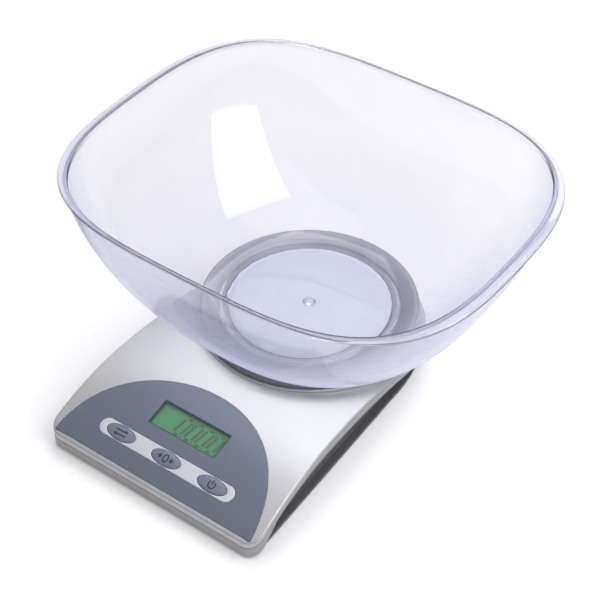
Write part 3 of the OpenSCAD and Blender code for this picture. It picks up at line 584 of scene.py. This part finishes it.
def make_cover():
    shell = Shell()
    under = lambda y: arch_z(y) - WALL
    recess = lambda y: arch_z(y) - PANEL_T
    inner = [shell.lift(outline(WALL), under), shell.lift(outline(WALL), lambda y: seam_z(y) + 0.05)]
    lip = [shell.lift(outline(SEAM_DEPTH), lambda y: seam_z(y) + 0.05),
           shell.lift(outline(0), lambda y: seam_z(y) + SEAM_FLARE)]
    crown = [shell.lift(outline(i), lambda y, d=d: arch_z(y) - d) for i, d in rounding(COVER_ROUND)]
    rings = inner + lip + crown + [shell.lift(outline(COVER_ROUND + 0.1), arch_z)]
    shell.loft(rings)

    foot = [shell.lift(circle(COLLAR_R + 0.2), arch_z),
            shell.lift(circle(COLLAR_R + 0.05), lambda y: arch_z(y) + 0.06),
            shell.lift(circle(COLLAR_R), lambda y: arch_z(y) + 0.2)]
    top = [shell.lift(circle(COLLAR_R - i), COLLAR_TOP - d) for i, d in rounding(0.6)]
    shell.loft(foot + top)
    panel_edge = shell.lift(panel_outline(FIT), arch_z)
    shell.sheet([rings[-1], foot[0], panel_edge], arch_z)

    passes = []
    for at in boss_centres():
        pair = [shell.lift(circle(BOSS_PASS_R, 40, at), h) for h in (COLLAR_TOP, COLLAR_TOP - WALL)]
        shell.loft(pair)
        passes.append(pair)
    shell.sheet([top[-1]] + [p[0] for p in passes], lambda y: COLLAR_TOP, 6.0)
    below = [shell.lift(circle(COLLAR_R - WALL), COLLAR_TOP - WALL),
             shell.lift(circle(COLLAR_R - WALL), under)]
    shell.sheet([below[0]] + [p[1] for p in passes], lambda y: COLLAR_TOP - WALL, 6.0, up=False)
    shell.loft(below)

    floor_edge = shell.lift(panel_outline(FIT), recess)
    shell.bridge(panel_edge, floor_edge)
    holes = [[shell.lift(hole, recess), shell.lift(hole, under)] for hole in panel_holes()]
    for pair in holes:
        shell.loft(pair)
    shell.sheet([floor_edge] + [h[0] for h in holes], recess)
    shell.sheet([inner[0], below[1]] + [h[1] for h in holes], under, 6.0, up=False)
    piece("cover_shell", shell, "base", ["top_cover"], "cover_silver", cover_paint.material)


def make_band():
    shell = Shell()
    section = [(WALL, seam_z, -0.05), (SEAM_DEPTH, seam_z, -0.05), (0, seam_z, -SEAM_FLARE), (0, edge_z, 0.4),
               (0.12, edge_z, 0.12), (0.4, edge_z, 0), (WALL, edge_z, 0)]
    rings = [shell.lift(outline(inset), lambda y, base=base, up=up: base(y) + up)
             for inset, base, up in section]
    shell.loft(rings + rings[:1])
    piece("side_band", shell, "base", ["edge_band"], "band_silver", band_paint.material)


def make_panel():
    shell = Shell()
    top = lambda y: arch_z(y) + PANEL_PROUD
    under = lambda y: arch_z(y) - PANEL_T + 0.02
    outer = [shell.lift(panel_outline(0), under)]
    outer += [shell.lift(panel_outline(-i), lambda y, d=d: top(y) - d) for i, d in rounding(0.18, 3)]
    outer.append(shell.lift(panel_outline(-0.5), top))
    shell.loft(outer)
    rims = []
    for plane, shape, centre in (
            (display_plane, lambda g: rounded_box(DISPLAY_SIZE[0] + g, DISPLAY_SIZE[1] + g, 0.5 + g / 2),
             (0, 0)),
            (panel_plane, lambda g: pill(STRIP_SIZE[0] + g, STRIP_SIZE[1] + g), (0, BUTTON_V))):
        hole = [shell.ring(plane.ring(shape(0), PANEL_FLOOR, centre))]
        hole += [shell.ring(plane.ring(shape(2 * i), PANEL_PROUD - d, centre)) for i, d in rounding(0.15, 2)]
        hole.append(shell.ring(plane.ring(shape(0.7), PANEL_PROUD, centre)))
        shell.loft(hole)
        rims.append(hole)
    shell.sheet([outer[-1]] + [h[-1] for h in rims], top, 3.0)
    shell.sheet([outer[0]] + [h[0] for h in rims], under, 6.0, up=False)
    piece("panel_plate", shell, "base", ["control_panel"], "panel_blue_grey", panel_paint.material)


def make_strip():
    shell = Shell()
    size = (STRIP_SIZE[0] - 2 * FIT, STRIP_SIZE[1] - 2 * FIT)
    centre = (0, BUTTON_V)
    outer = [shell.ring(panel_plane.ring(pill(*size), PANEL_FLOOR, centre))]
    outer += [shell.ring(panel_plane.ring(pill(size[0] - 2 * i, size[1] - 2 * i), STRIP_PROUD - d, centre))
              for i, d in rounding(0.2, 3)]
    shell.loft(outer)
    w, d = BUTTON_SIZE[0] + BUTTON_GAP, BUTTON_SIZE[1] + BUTTON_GAP
    holes = []
    for k in (-1, 0, 1):
        at = (k * BUTTON_PITCH, BUTTON_V)
        hole = [shell.ring(panel_plane.ring(oval(w, d), PANEL_FLOOR, at))]
        hole += [shell.ring(panel_plane.ring(oval(w + 2 * i, d + 2 * i), STRIP_PROUD - down, at))
                 for i, down in rounding(0.12, 2)]
        shell.loft(hole)
        holes.append(hole)
    for rings, lift, up in (([outer[-1]] + [h[-1] for h in holes], STRIP_PROUD, True),
                            ([outer[0]] + [h[0] for h in holes], PANEL_FLOOR, False)):
        shell.sheet(rings, lambda y, lift=lift: arch_z(y) + lift / math.cos(panel_plane.tilt), 1.5, up)
    piece("strip_plate", shell, "base", ["button_strip"], "strip_silver", strip_paint.material)


BUTTON_EDGE = 0.35
BUTTON_CROWN = 0.85
BUTTON_FLOOR = -3.7
FLANGE_W = 2
FLANGE_T = 0.8
STEM_D = 4
STEM_END = -3.9
INK_LOW = -0.05
INK_TOP = 0.04
STROKE_STEP = 0.5


def button_lift(share):
    """Height of a button's face above the arch, at a share of the way out to its edge."""
    return BUTTON_EDGE + (BUTTON_CROWN - BUTTON_EDGE) * (1 - share ** 2.4)


def make_button(name, place):
    shell = Shell()
    at = (place * BUTTON_PITCH, BUTTON_V)
    w, d = BUTTON_SIZE
    flange_top = BUTTON_FLOOR + FLANGE_T
    rings = [shell.ring([panel_plane.out(at[0] + x, at[1] + y, h) for x, y in oval(w + grow, d + grow)])
             for grow, h in ((FLANGE_W, BUTTON_FLOOR), (FLANGE_W, flange_top), (0, flange_top))]
    rings.append(shell.ring(panel_plane.ring(oval(w, d), BUTTON_EDGE - 0.3, at)))
    rings += [shell.ring(panel_plane.ring(oval(w - 2 * i, d - 2 * i), BUTTON_EDGE - dn, at))
              for i, dn in rounding(0.25, 3)[1:]]
    shares = [0.92, 0.84, 0.72, 0.58, 0.42, 0.26, 0.1]
    rings += [shell.ring(panel_plane.ring([(u * s, v * s) for u, v in oval(w, d)], button_lift(s), at))
              for s in shares]
    shell.loft(rings)
    shell.add(rings[-1])
    shell.add(rings[0][::-1])
    stem = [shell.ring([panel_plane.out(at[0] + x, at[1] + y, h) for x, y in oval(STEM_D, STEM_D, 24)])
            for h in (BUTTON_FLOOR + 0.1, STEM_END)]
    shell.loft(stem)
    shell.add(stem[-1][::-1])
    shell.add(stem[0])
    piece(name + "_cap", shell, name, [name], "button_blue_grey", button_plastic.material)
    return at


def make_legend(name, body, at, strokes, width=0.72):
    """Generic sign on a button: each stroke is a line of points, closed or open."""
    shell = Shell()
    for stroke, closed in strokes:
        ends = [Vector(p) for p in stroke]
        pts = []
        for a, b in zip(ends, ends[1:]):
            parts = max(1, round((b - a).length / STROKE_STEP))
            pts += [a.lerp(b, k / parts) for k in range(parts)]
        pts.append(ends[-1])
        n = len(pts)
        rows = []
        for i, p in enumerate(pts):
            ahead = pts[(i + 1) % n] if closed or i < n - 1 else p
            back = pts[i - 1] if closed or i > 0 else p
            along = (ahead - back).normalized()
            side = Vector((-along.y, along.x)) * width / 2
            row = []
            for q, lift in ((p + side, INK_LOW), (p + side, INK_TOP), (p - side, INK_TOP),
                            (p - side, INK_LOW)):
                share = min(1.0, math.hypot(q.x / (BUTTON_SIZE[0] / 2), q.y / (BUTTON_SIZE[1] / 2)))
                row.append(panel_plane.on_arch(at[0] + q.x, at[1] + q.y, button_lift(share) + lift))
            rows.append(shell.ring(row))
        if closed:
            rows.append(rows[0])
        for a, b in zip(rows, rows[1:]):
            shell.bridge(a, b)
        if not closed:
            shell.add(rows[0])
            shell.add(rows[-1][::-1])
    piece(name, shell, body, [], "black_plastic", legend_ink.material)


def arc_points(r, start, end, steps=20, centre=(0, 0)):
    return [(centre[0] + r * math.cos(math.radians(a)), centre[1] + r * math.sin(math.radians(a)))
            for a in (start + (end - start) * k / steps for k in range(steps + 1))]


def make_buttons():
    spots = {name: make_button(name, place)
             for name, place in (("unit_button", -1), ("tare_button", 0), ("power_button", 1))}
    swap = []
    for side in (-1, 1):
        y = side * 1.15
        swap.append(([(-3.6 * side, y), (3.6 * side, y)], False))
        swap.append(([(1.9 * side, y + 1.15 * side), (3.7 * side, y)], False))
    make_legend("unit_sign", "unit_button", spots["unit_button"], swap)
    zero = [([(1.35 * math.cos(a), 2.1 * math.sin(a)) for a in (math.pi * k / 14 for k in range(28))], True)]
    for side in (-1, 1):
        zero.append(([(5.2 * side, 0), (2.9 * side, 0)], False))
        zero.append(([(4.1 * side, 1.1), (2.8 * side, 0), (4.1 * side, -1.1)], False))
    make_legend("tare_sign", "tare_button", spots["tare_button"], zero)
    power = [(arc_points(2.0, 125, 415, 30), False), ([(0, 0.2), (0, 2.7)], False)]
    make_legend("power_sign", "power_button", spots["power_button"], power)


def box_rings(shell, plane, size, lifts, r=0.3):
    """Rings of a rounded box in a tangent frame at the given heights."""
    return [shell.ring([plane.out(u, v, w) for u, v in rounded_box(*size, r)]) for w in lifts]


def closed_stack(shell, rings):
    shell.loft(rings)
    shell.add(rings[-1])
    shell.add(rings[0][::-1])


LCD_TOP = -2.55
LENS_TOP = -0.45
PRINT_T = 0.05
# Printed borders: growth past the display's size, width of the line, and height
GLASS_PRINT = (1.8, 1.6, LCD_TOP)
LENS_PRINT = (-0.35, 0.5, LENS_TOP)
DIGIT_W, DIGIT_H = 4.6, 11.0
DIGIT_BAR = 1.7
DIGIT_SLANT = 0.2
DIGIT_PITCH = 7.2
DIGIT_COUNT = 4
DIGIT_MARGIN = 4.2
SEGMENT_GAP = 0.3
POINT_GAP = 1.0
POINT_W = 0.8


def make_display():
    w, d = DISPLAY_SIZE
    shell = Shell()
    closed_stack(shell, box_rings(shell, display_plane, (w + 4, d + 4), (-2.4, -1.3)))
    closed_stack(shell, box_rings(shell, display_plane, (w - 0.3, d - 0.3), (-1.35, -0.55, LENS_TOP), r=0.45))
    piece("display_lens", shell, "base", ["display_window"], "display_lens", display_lens.material)

    shell = Shell()
    closed_stack(shell, box_rings(shell, display_plane, (w + 2, d + 2), (LCD_TOP - 2, LCD_TOP)))
    piece("lcd_panel", shell, "base", ["lcd_glass"], "lcd_glass", lcd_green.material)

    shell = Shell()
    for grow, width, low in (GLASS_PRINT, LENS_PRINT):
        outer = rounded_box(w + grow, d + grow, 0.4)
        inner = rounded_box(w + grow - 2 * width, d + grow - 2 * width, 0.2)
        rings = [shell.ring([display_plane.out(u, v, lift) for u, v in shape])
                 for shape,
                 lift in ((outer, low), (outer, low + PRINT_T), (inner, low + PRINT_T), (inner, low))]
        shell.loft(rings + rings[:1])
    piece("lcd_edge_print", shell, "base", [], "lcd_dark", lcd_border.material)

    make_digits()


def make_digits():
    """Four zeros with a point after each but the last, as six-sided bars on the glass."""
    shell = Shell()
    trim = DIGIT_BAR * 0.8
    half = DIGIT_H / 2
    left, right = trim, DIGIT_W - trim
    below, above = half - SEGMENT_GAP, half + SEGMENT_GAP
    segments = [((left, 0), (right, 0)), ((left, DIGIT_H), (right, DIGIT_H)),
                ((0, trim), (0, below)), ((DIGIT_W, trim), (DIGIT_W, below)),
                ((0, above), (0, DIGIT_H - trim)), ((DIGIT_W, above), (DIGIT_W, DIGIT_H - trim))]
    point_x = DIGIT_W + POINT_GAP
    last = DISPLAY_SIZE[0] / 2 - DIGIT_MARGIN - DIGIT_W
    for k in range(DIGIT_COUNT):
        x0 = last - k * DIGIT_PITCH
        bars = [(a, b, DIGIT_BAR) for a, b in segments]
        if k:
            bars.append(((point_x, -0.25), (point_x, 0.45), POINT_W))
        for a, b, width in bars:
            a, b = Vector(a), Vector(b)
            side = Vector((-(b - a).y, (b - a).x)).normalized() * width / 2
            along = (b - a).normalized() * width * 0.35
            shape = [a - side, a - along, a + side, b + side, b + along, b - side]
            rings = [shell.ring([display_plane.out(x0 + p.x + DIGIT_SLANT * p.y, p.y - half, LCD_TOP + h)
                                 for p in shape])
                     for h in (0.01, 0.06)]
            closed_stack(shell, rings)
    piece("lcd_zeros", shell, "base", ["lcd_digits"], "lcd_dark", lcd_segment.material)


# ---- Platform and bowl ----
def revolve(shell, profile, n=180, centre=(0.0, PLATFORM_Y)):
    """Turns (radius, height) points round the platform's axis; the ends close on the axis."""
    rings = [shell.lift(circle(r, n, centre), z) for r, z in profile if r > 0]
    shell.loft(rings)
    for (r, z), ring in ((profile[0], rings[0]), (profile[-1], rings[-1])):
        if r == 0:
            middle = shell.ring([(centre[0], centre[1], z)])[0]
            for i in range(len(ring)):
                shell.add((middle, ring[i], ring[(i + 1) % len(ring)]))
    return rings


def make_platform():
    shell = Shell()
    low = COLLAR_TOP + COLLAR_GAP
    r, top = PLATFORM_R, PLATFORM_TOP
    edge = [(r - 1.3 + 1.3 * math.sin(a), top - 1.3 + 1.3 * math.cos(a))
            for a in (math.radians(10 * k) for k in range(10))]
    profile = [(0, DISH_H), (20, DISH_H), (DISH_R - 0.6, DISH_H), (DISH_R - 0.2, DISH_H + 0.02),
               (DISH_R + 0.2, DISH_H + 0.15), (DISH_R + 0.8, DISH_H + 0.5), (r - 3.2, top - 0.45),
               (r - 2.4, top - 0.12)]
    profile += edge
    under = DISH_H - PLATFORM_WALL
    profile += [(r, low + 0.3), (r - 0.1, low + 0.1), (r - 0.35, low), (r - PLATFORM_WALL, low),
                (r - PLATFORM_WALL, top - 3.5), (DISH_R + 1, under), (20, under), (0, under)]
    revolve(shell, profile)
    boss_foot, mouth_r, hole_r, hole_top = 24.25, 1.4, 1.35, 30
    tube = [(BOSS_R, DISH_H - 1.9), (BOSS_R, boss_foot + 0.25), (BOSS_R - 0.2, boss_foot),
            (mouth_r, boss_foot), (hole_r, hole_top), (0, hole_top)]
    for at in boss_centres():
        revolve(shell, tube, 32, at)
    piece("platform_plate", shell, "platform", ["platform"], "platform_grey", platform_plastic.material)


def bowl_point(k, n, a, b, nx, ny, z, droop):
    t = 2 * math.pi * k / n
    c, s = math.cos(t), math.sin(t)
    x = a * math.copysign(abs(c) ** (2 / nx), c)
    y = b * math.copysign(abs(s) ** (2 / ny), s)
    return (x, PLATFORM_Y + y, z - droop * (abs(x) / a) ** 6)


BOWL_SIDES = 216
BOWL_STEPS = 44
# The bowl's material slots, in the order that make_bowl gives them; the last one paints dark reflection where
# the plastic is seen edge-on
CLEAR, FLOOR, FLANGE, DARK_REFLECTION = range(4)


def bowl_ring(a, b, nx, ny, z, droop=0.0):
    return [bowl_point(k, BOWL_SIDES, a, b, nx, ny, z, droop) for k in range(BOWL_SIDES)]


def wall_ring(s, a, b, start, z0, z1):
    """One ring of the wall, at height share s between the floor's turn and the rim."""
    nx, ny = BOWL_POWERS
    px, py = BOWL_CURVES
    q = s ** BOWL_SQUARE_RATE
    grow = lambda p: (1 - (1 - s) ** p) ** (1 / p)
    return bowl_ring(start + (a - start) * grow(px), start + (b - start) * grow(py),
                     2 + (nx - 2) * q, 2 + (ny - 2) * q, z0 + (z1 - z0) * s)


def make_bowl():
    shell = Shell()
    bottom = DISH_H
    turn = bottom + 2.4
    under_rim = BOWL_RIM - 1.8
    foot_r = BOWL_FLOOR_R - 3
    wall_r = BOWL_FLOOR_R - 3.2
    flat = lambda r, z: bowl_ring(r, r, 2, 2, z)
    shares = [(i / BOWL_STEPS) ** 1.6 for i in range(1, BOWL_STEPS + 1)]
    half_size = (BOWL_W / 2 + BOWL_WALL, BOWL_D / 2 + BOWL_WALL)
    outside = [wall_ring(s, *half_size, wall_r, turn, under_rim) for s in shares]
    outside = [r for r in outside if r[0][0] > BOWL_FLOOR_R + 1.2]
    base = [flat(foot_r - 0.9, bottom + 0.55), flat(foot_r - 0.5, bottom + 0.3), flat(foot_r, bottom + 0.02),
            flat(BOWL_FLOOR_R - 0.8, bottom + 0.02), flat(BOWL_FLOOR_R - 0.3, bottom + 0.25),
            flat(BOWL_FLOOR_R, bottom + 0.8), flat(BOWL_FLOOR_R + 0.5, turn - 0.2)]
    nx, ny = BOWL_POWERS
    rim = lambda ox, oy, z, droop: bowl_ring(BOWL_W / 2 + ox, BOWL_D / 2 + oy, nx, ny, z, droop)
    f, e, droop = BOWL_FLANGE, BOWL_END, BOWL_DROOP
    flange = [rim(2.6, 2.02, under_rim - 0.02, droop * 0.1), rim(f - 0.5, e - 0.08, under_rim + 0.02, droop),
              rim(f - 0.12, e - 0.03, under_rim + 0.2, droop), rim(f, e, under_rim + 0.5, droop),
              rim(f, e, BOWL_RIM - 0.7, droop), rim(f - 0.1, e - 0.1, BOWL_RIM - 0.35, droop),
              rim(f - 0.4, e - 0.3, BOWL_RIM - 0.1, droop), rim(f - 1.0, e - 0.6, BOWL_RIM, droop * 0.85),
              rim(2.5, 1.2, BOWL_RIM, droop * 0.3), rim(0.7, 0.7, BOWL_RIM, 0),
              rim(0.3, 0.3, BOWL_RIM - 0.06, 0),
              rim(0.08, 0.08, BOWL_RIM - 0.22, 0)]
    inside_z = (turn + BOWL_WALL * 0.6, BOWL_RIM - 0.4)
    down = [shares[-1], 0.978] + shares[-2::-1]
    inner = [wall_ring(s, BOWL_W / 2, BOWL_D / 2, wall_r - 0.8, *inside_z) for s in down]
    floor_z = bottom + 2.6
    groove = foot_r - 1.2
    inner = [r for r in inner if r[0][0] > groove + 1.6]
    floor = [flat(groove + 1.2, floor_z + 0.15), flat(groove + 0.6, floor_z - 0.05),
             flat(groove, floor_z - 0.35),
             flat(groove - 0.5, floor_z - 0.2), flat(groove - 0.9, floor_z), flat(groove - 3, floor_z),
             flat(24, floor_z), flat(6, floor_z)]
    nub = [flat(3.6, floor_z), flat(3.4, floor_z + 0.5), flat(2.9, floor_z + 1.2), flat(2.1, floor_z + 1.6),
           flat(1.0, floor_z + 1.75)]
    rings = [shell.ring(r) for r in base + outside]
    shell.loft(rings)
    edge = [rings[-1]] + [shell.ring(r) for r in flange]
    # The flange's outer edge and the rim's inner rounding get painted dark reflection
    for slot, first, last in ((FLANGE, 0, 3), (DARK_REFLECTION, 3, 6), (FLANGE, 6, 9), (DARK_REFLECTION, 9, len(edge) - 1)):
        shell.slot = slot
        shell.loft(edge[first:last + 1])
    rest = [edge[-1]] + [shell.ring(r) for r in inner + floor + nub]
    groove_at = len(inner) + 1
    nub_at = len(rest) - len(nub)
    # Painted dark reflection also goes on the rim's inner top, on the floor's groove and on the nub's sides
    for slot, first, last in ((DARK_REFLECTION, 0, 2), (CLEAR, 2, groove_at), (DARK_REFLECTION, groove_at, groove_at + 2),
                              (FLOOR, groove_at + 2, nub_at), (DARK_REFLECTION, nub_at, nub_at + 2),
                              (FLOOR, nub_at + 2, len(rest) - 1)):
        shell.slot = slot
        shell.loft(rest[first:last + 1])
    shell.add(rest[-1])
    shell.slot = FLOOR
    below = [rings[0]] + [shell.ring(flat(r, bottom + 0.6)) for r in (30, 10)]
    shell.loft(below)
    shell.add(below[-1])
    piece("mixing_bowl", shell, "bowl", ["bowl"], "bowl_clear", bowl_clear, bowl_floor, bowl_flange, bowl_dark_reflection,
          sharp=50.0)


# ---- Load cell ----
def make_beam():
    """The load cell and its gauge coats, which bend between their ends.

    The rear end is on the housing and the front end is under the platform. The meshes are cut across
    where they bend.
    """
    middle = (PLATFORM_Y + FRONT_Y) / 1000
    reach, cuts = 0.014, 6
    for name, node, look, slot in (("load_beam", "load_cell", aluminium, "cell_aluminium"),
                                   ("gauge_coats", "gauge_coat", lacquer, "gauge_lacquer")):
        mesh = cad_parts[node].data.copy()
        mesh.name = name
        work = bmesh.new()
        work.from_mesh(mesh)
        for k in range(-cuts, cuts + 1):
            bmesh.ops.bisect_plane(work, geom=work.verts[:] + work.edges[:] + work.faces[:],
                                   plane_co=(0, middle + reach * k / cuts, 0), plane_no=(0, 1, 0))
        work.to_mesh(mesh)
        work.free()
        mesh.materials.clear()
        mesh.materials.append(look.material)
        obj = bpy.data.objects.new(name, mesh)
        bpy.context.scene.collection.objects.link(obj)
        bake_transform(obj)
        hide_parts(node)


# ---- Underside ----
def make_feet():
    shell = Shell()
    profile = [(0, 0.35), (4.2, 0.35), (4.5, 0.3), (4.7, 0), (6.4, 0), (6.8, 0.15), (7, 0.5), (7, 2), (0, 2)]
    for x, y in FEET_AT:
        for side in (-1, 1):
            revolve(shell, profile, 56, (side * x, y))
    piece("foot_pads", shell, "base", ["rubber_feet"], "rubber_black", rubber.material)


CAD_LOOKS = {
    housing_plastic: ("bottom_housing", "battery_door"),
    steel: ("housing_screws", "board_screws", "cell_screws", "carrier_screws", "platform_screws"),
    sheet_steel: ("cell_spacer", "platform_carrier"),
    board_mask: ("main_board",),
    black_resin: ("chip_cover", "tact_switches", "battery_snap"),
    white_plastic: ("lcd_frame",),
    light_guide: ("lcd_backlight",),
    zebra_strip: ("lcd_connector",),
    cell_case: ("battery",),
    lead_red: ("battery_leads",),
    cable_grey: ("cell_cable",),
}


def dress_cad():
    for look, names in CAD_LOOKS.items():
        for name in names:
            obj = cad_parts[name]
            obj.data.materials.clear()
            obj.data.materials.append(look.material)


# ---- Studio, in metres ----
CAMERA_AT = (0.38291, -0.51300, 0.64195)
CAMERA_TARGET = (-0.00109, 0.01268, 0.0415)
CAMERA_LENS = 95.68
SENSOR_W = 36
FLOOR_REACH = 4.0


def aim(obj, at):
    obj.rotation_euler = (Vector(at) - obj.location).to_track_quat("-Z", "Y").to_euler()


def area_light(name, at, target, size, power, along=(1, 0, 0)):
    """A rectangular lamp at a point, facing target, with its long side along a direction."""
    data = bpy.data.lights.new(name, "AREA")
    data.shape = "RECTANGLE"
    data.size, data.size_y = size
    data.energy = power
    obj = bpy.data.objects.new(name, data)
    bpy.context.scene.collection.objects.link(obj)
    back = (Vector(at) - Vector(target)).normalized()
    up = back.cross(Vector(along)).normalized()
    obj.matrix_world = Matrix.Translation(at) @ Matrix((up.cross(back), up, back)).transposed().to_4x4()


def make_studio():
    scene = bpy.context.scene
    camera_data = bpy.data.cameras.new("camera")
    camera_data.lens = CAMERA_LENS
    camera_data.sensor_width = SENSOR_W
    camera = bpy.data.objects.new("camera", camera_data)
    scene.collection.objects.link(camera)
    camera.location = CAMERA_AT
    aim(camera, CAMERA_TARGET)
    scene.camera = camera

    world = bpy.data.worlds.new("studio")
    scene.world = world
    world.use_nodes = True
    nodes, links = world.node_tree.nodes, world.node_tree.links
    back = nodes["Background"]
    where = nodes.new("ShaderNodeTexCoord")
    split = nodes.new("ShaderNodeSeparateXYZ")
    ramp = nodes.new("ShaderNodeValToRGB")
    links.new(where.outputs["Generated"], split.inputs["Vector"])
    links.new(split.outputs["Z"], ramp.inputs["Fac"])
    ramp.color_ramp.elements[0].color = (0.25, 0.25, 0.28, 1)
    ramp.color_ramp.elements[1].color = (1.0, 1.0, 1.0, 1)
    ramp.color_ramp.elements[1].position = 0.8
    links.new(ramp.outputs["Color"], back.inputs["Color"])
    back.inputs["Strength"].default_value = 0.75

    area_light("softbox", (-0.35, 0.55, 0.9), (0, 0, 0.05), (0.55, 0.8), 4.0)
    area_light("window", (0.42, 0.02, 0.54), (-0.08, 0.07, 0.066), (0.56, 0.52), 3.0, (0.35, -0.2, -0.39))
    area_light("overhead", (0.1, -0.1, 1.3), (0, 0, 0), (1.2, 1.2), 2.5)
    scene.view_settings.view_transform = "Standard"
    scene.cycles.transparent_max_bounces = 16

    mesh = bpy.data.meshes.new("floor")
    reach = FLOOR_REACH
    mesh.from_pydata([(-reach, -reach, 0), (reach, -reach, 0), (reach, reach, 0), (-reach, reach, 0)],
                     [], [(0, 1, 2, 3)])
    floor = bpy.data.objects.new("floor", mesh)
    scene.collection.objects.link(floor)
    paper = speckled("floor_paper", (0.68, 0.68, 0.685), (0.71, 0.71, 0.715), 0.85, 0.0, 300, 0.05)
    paper.set(Emission_Color=(1, 1, 1, 1), Emission_Strength=0.17)
    mesh.materials.append(paper.material)


make_cover()
make_band()
make_panel()
make_strip()
make_buttons()
make_display()
make_platform()
make_bowl()
make_beam()
make_feet()
dress_cad()
make_studio()
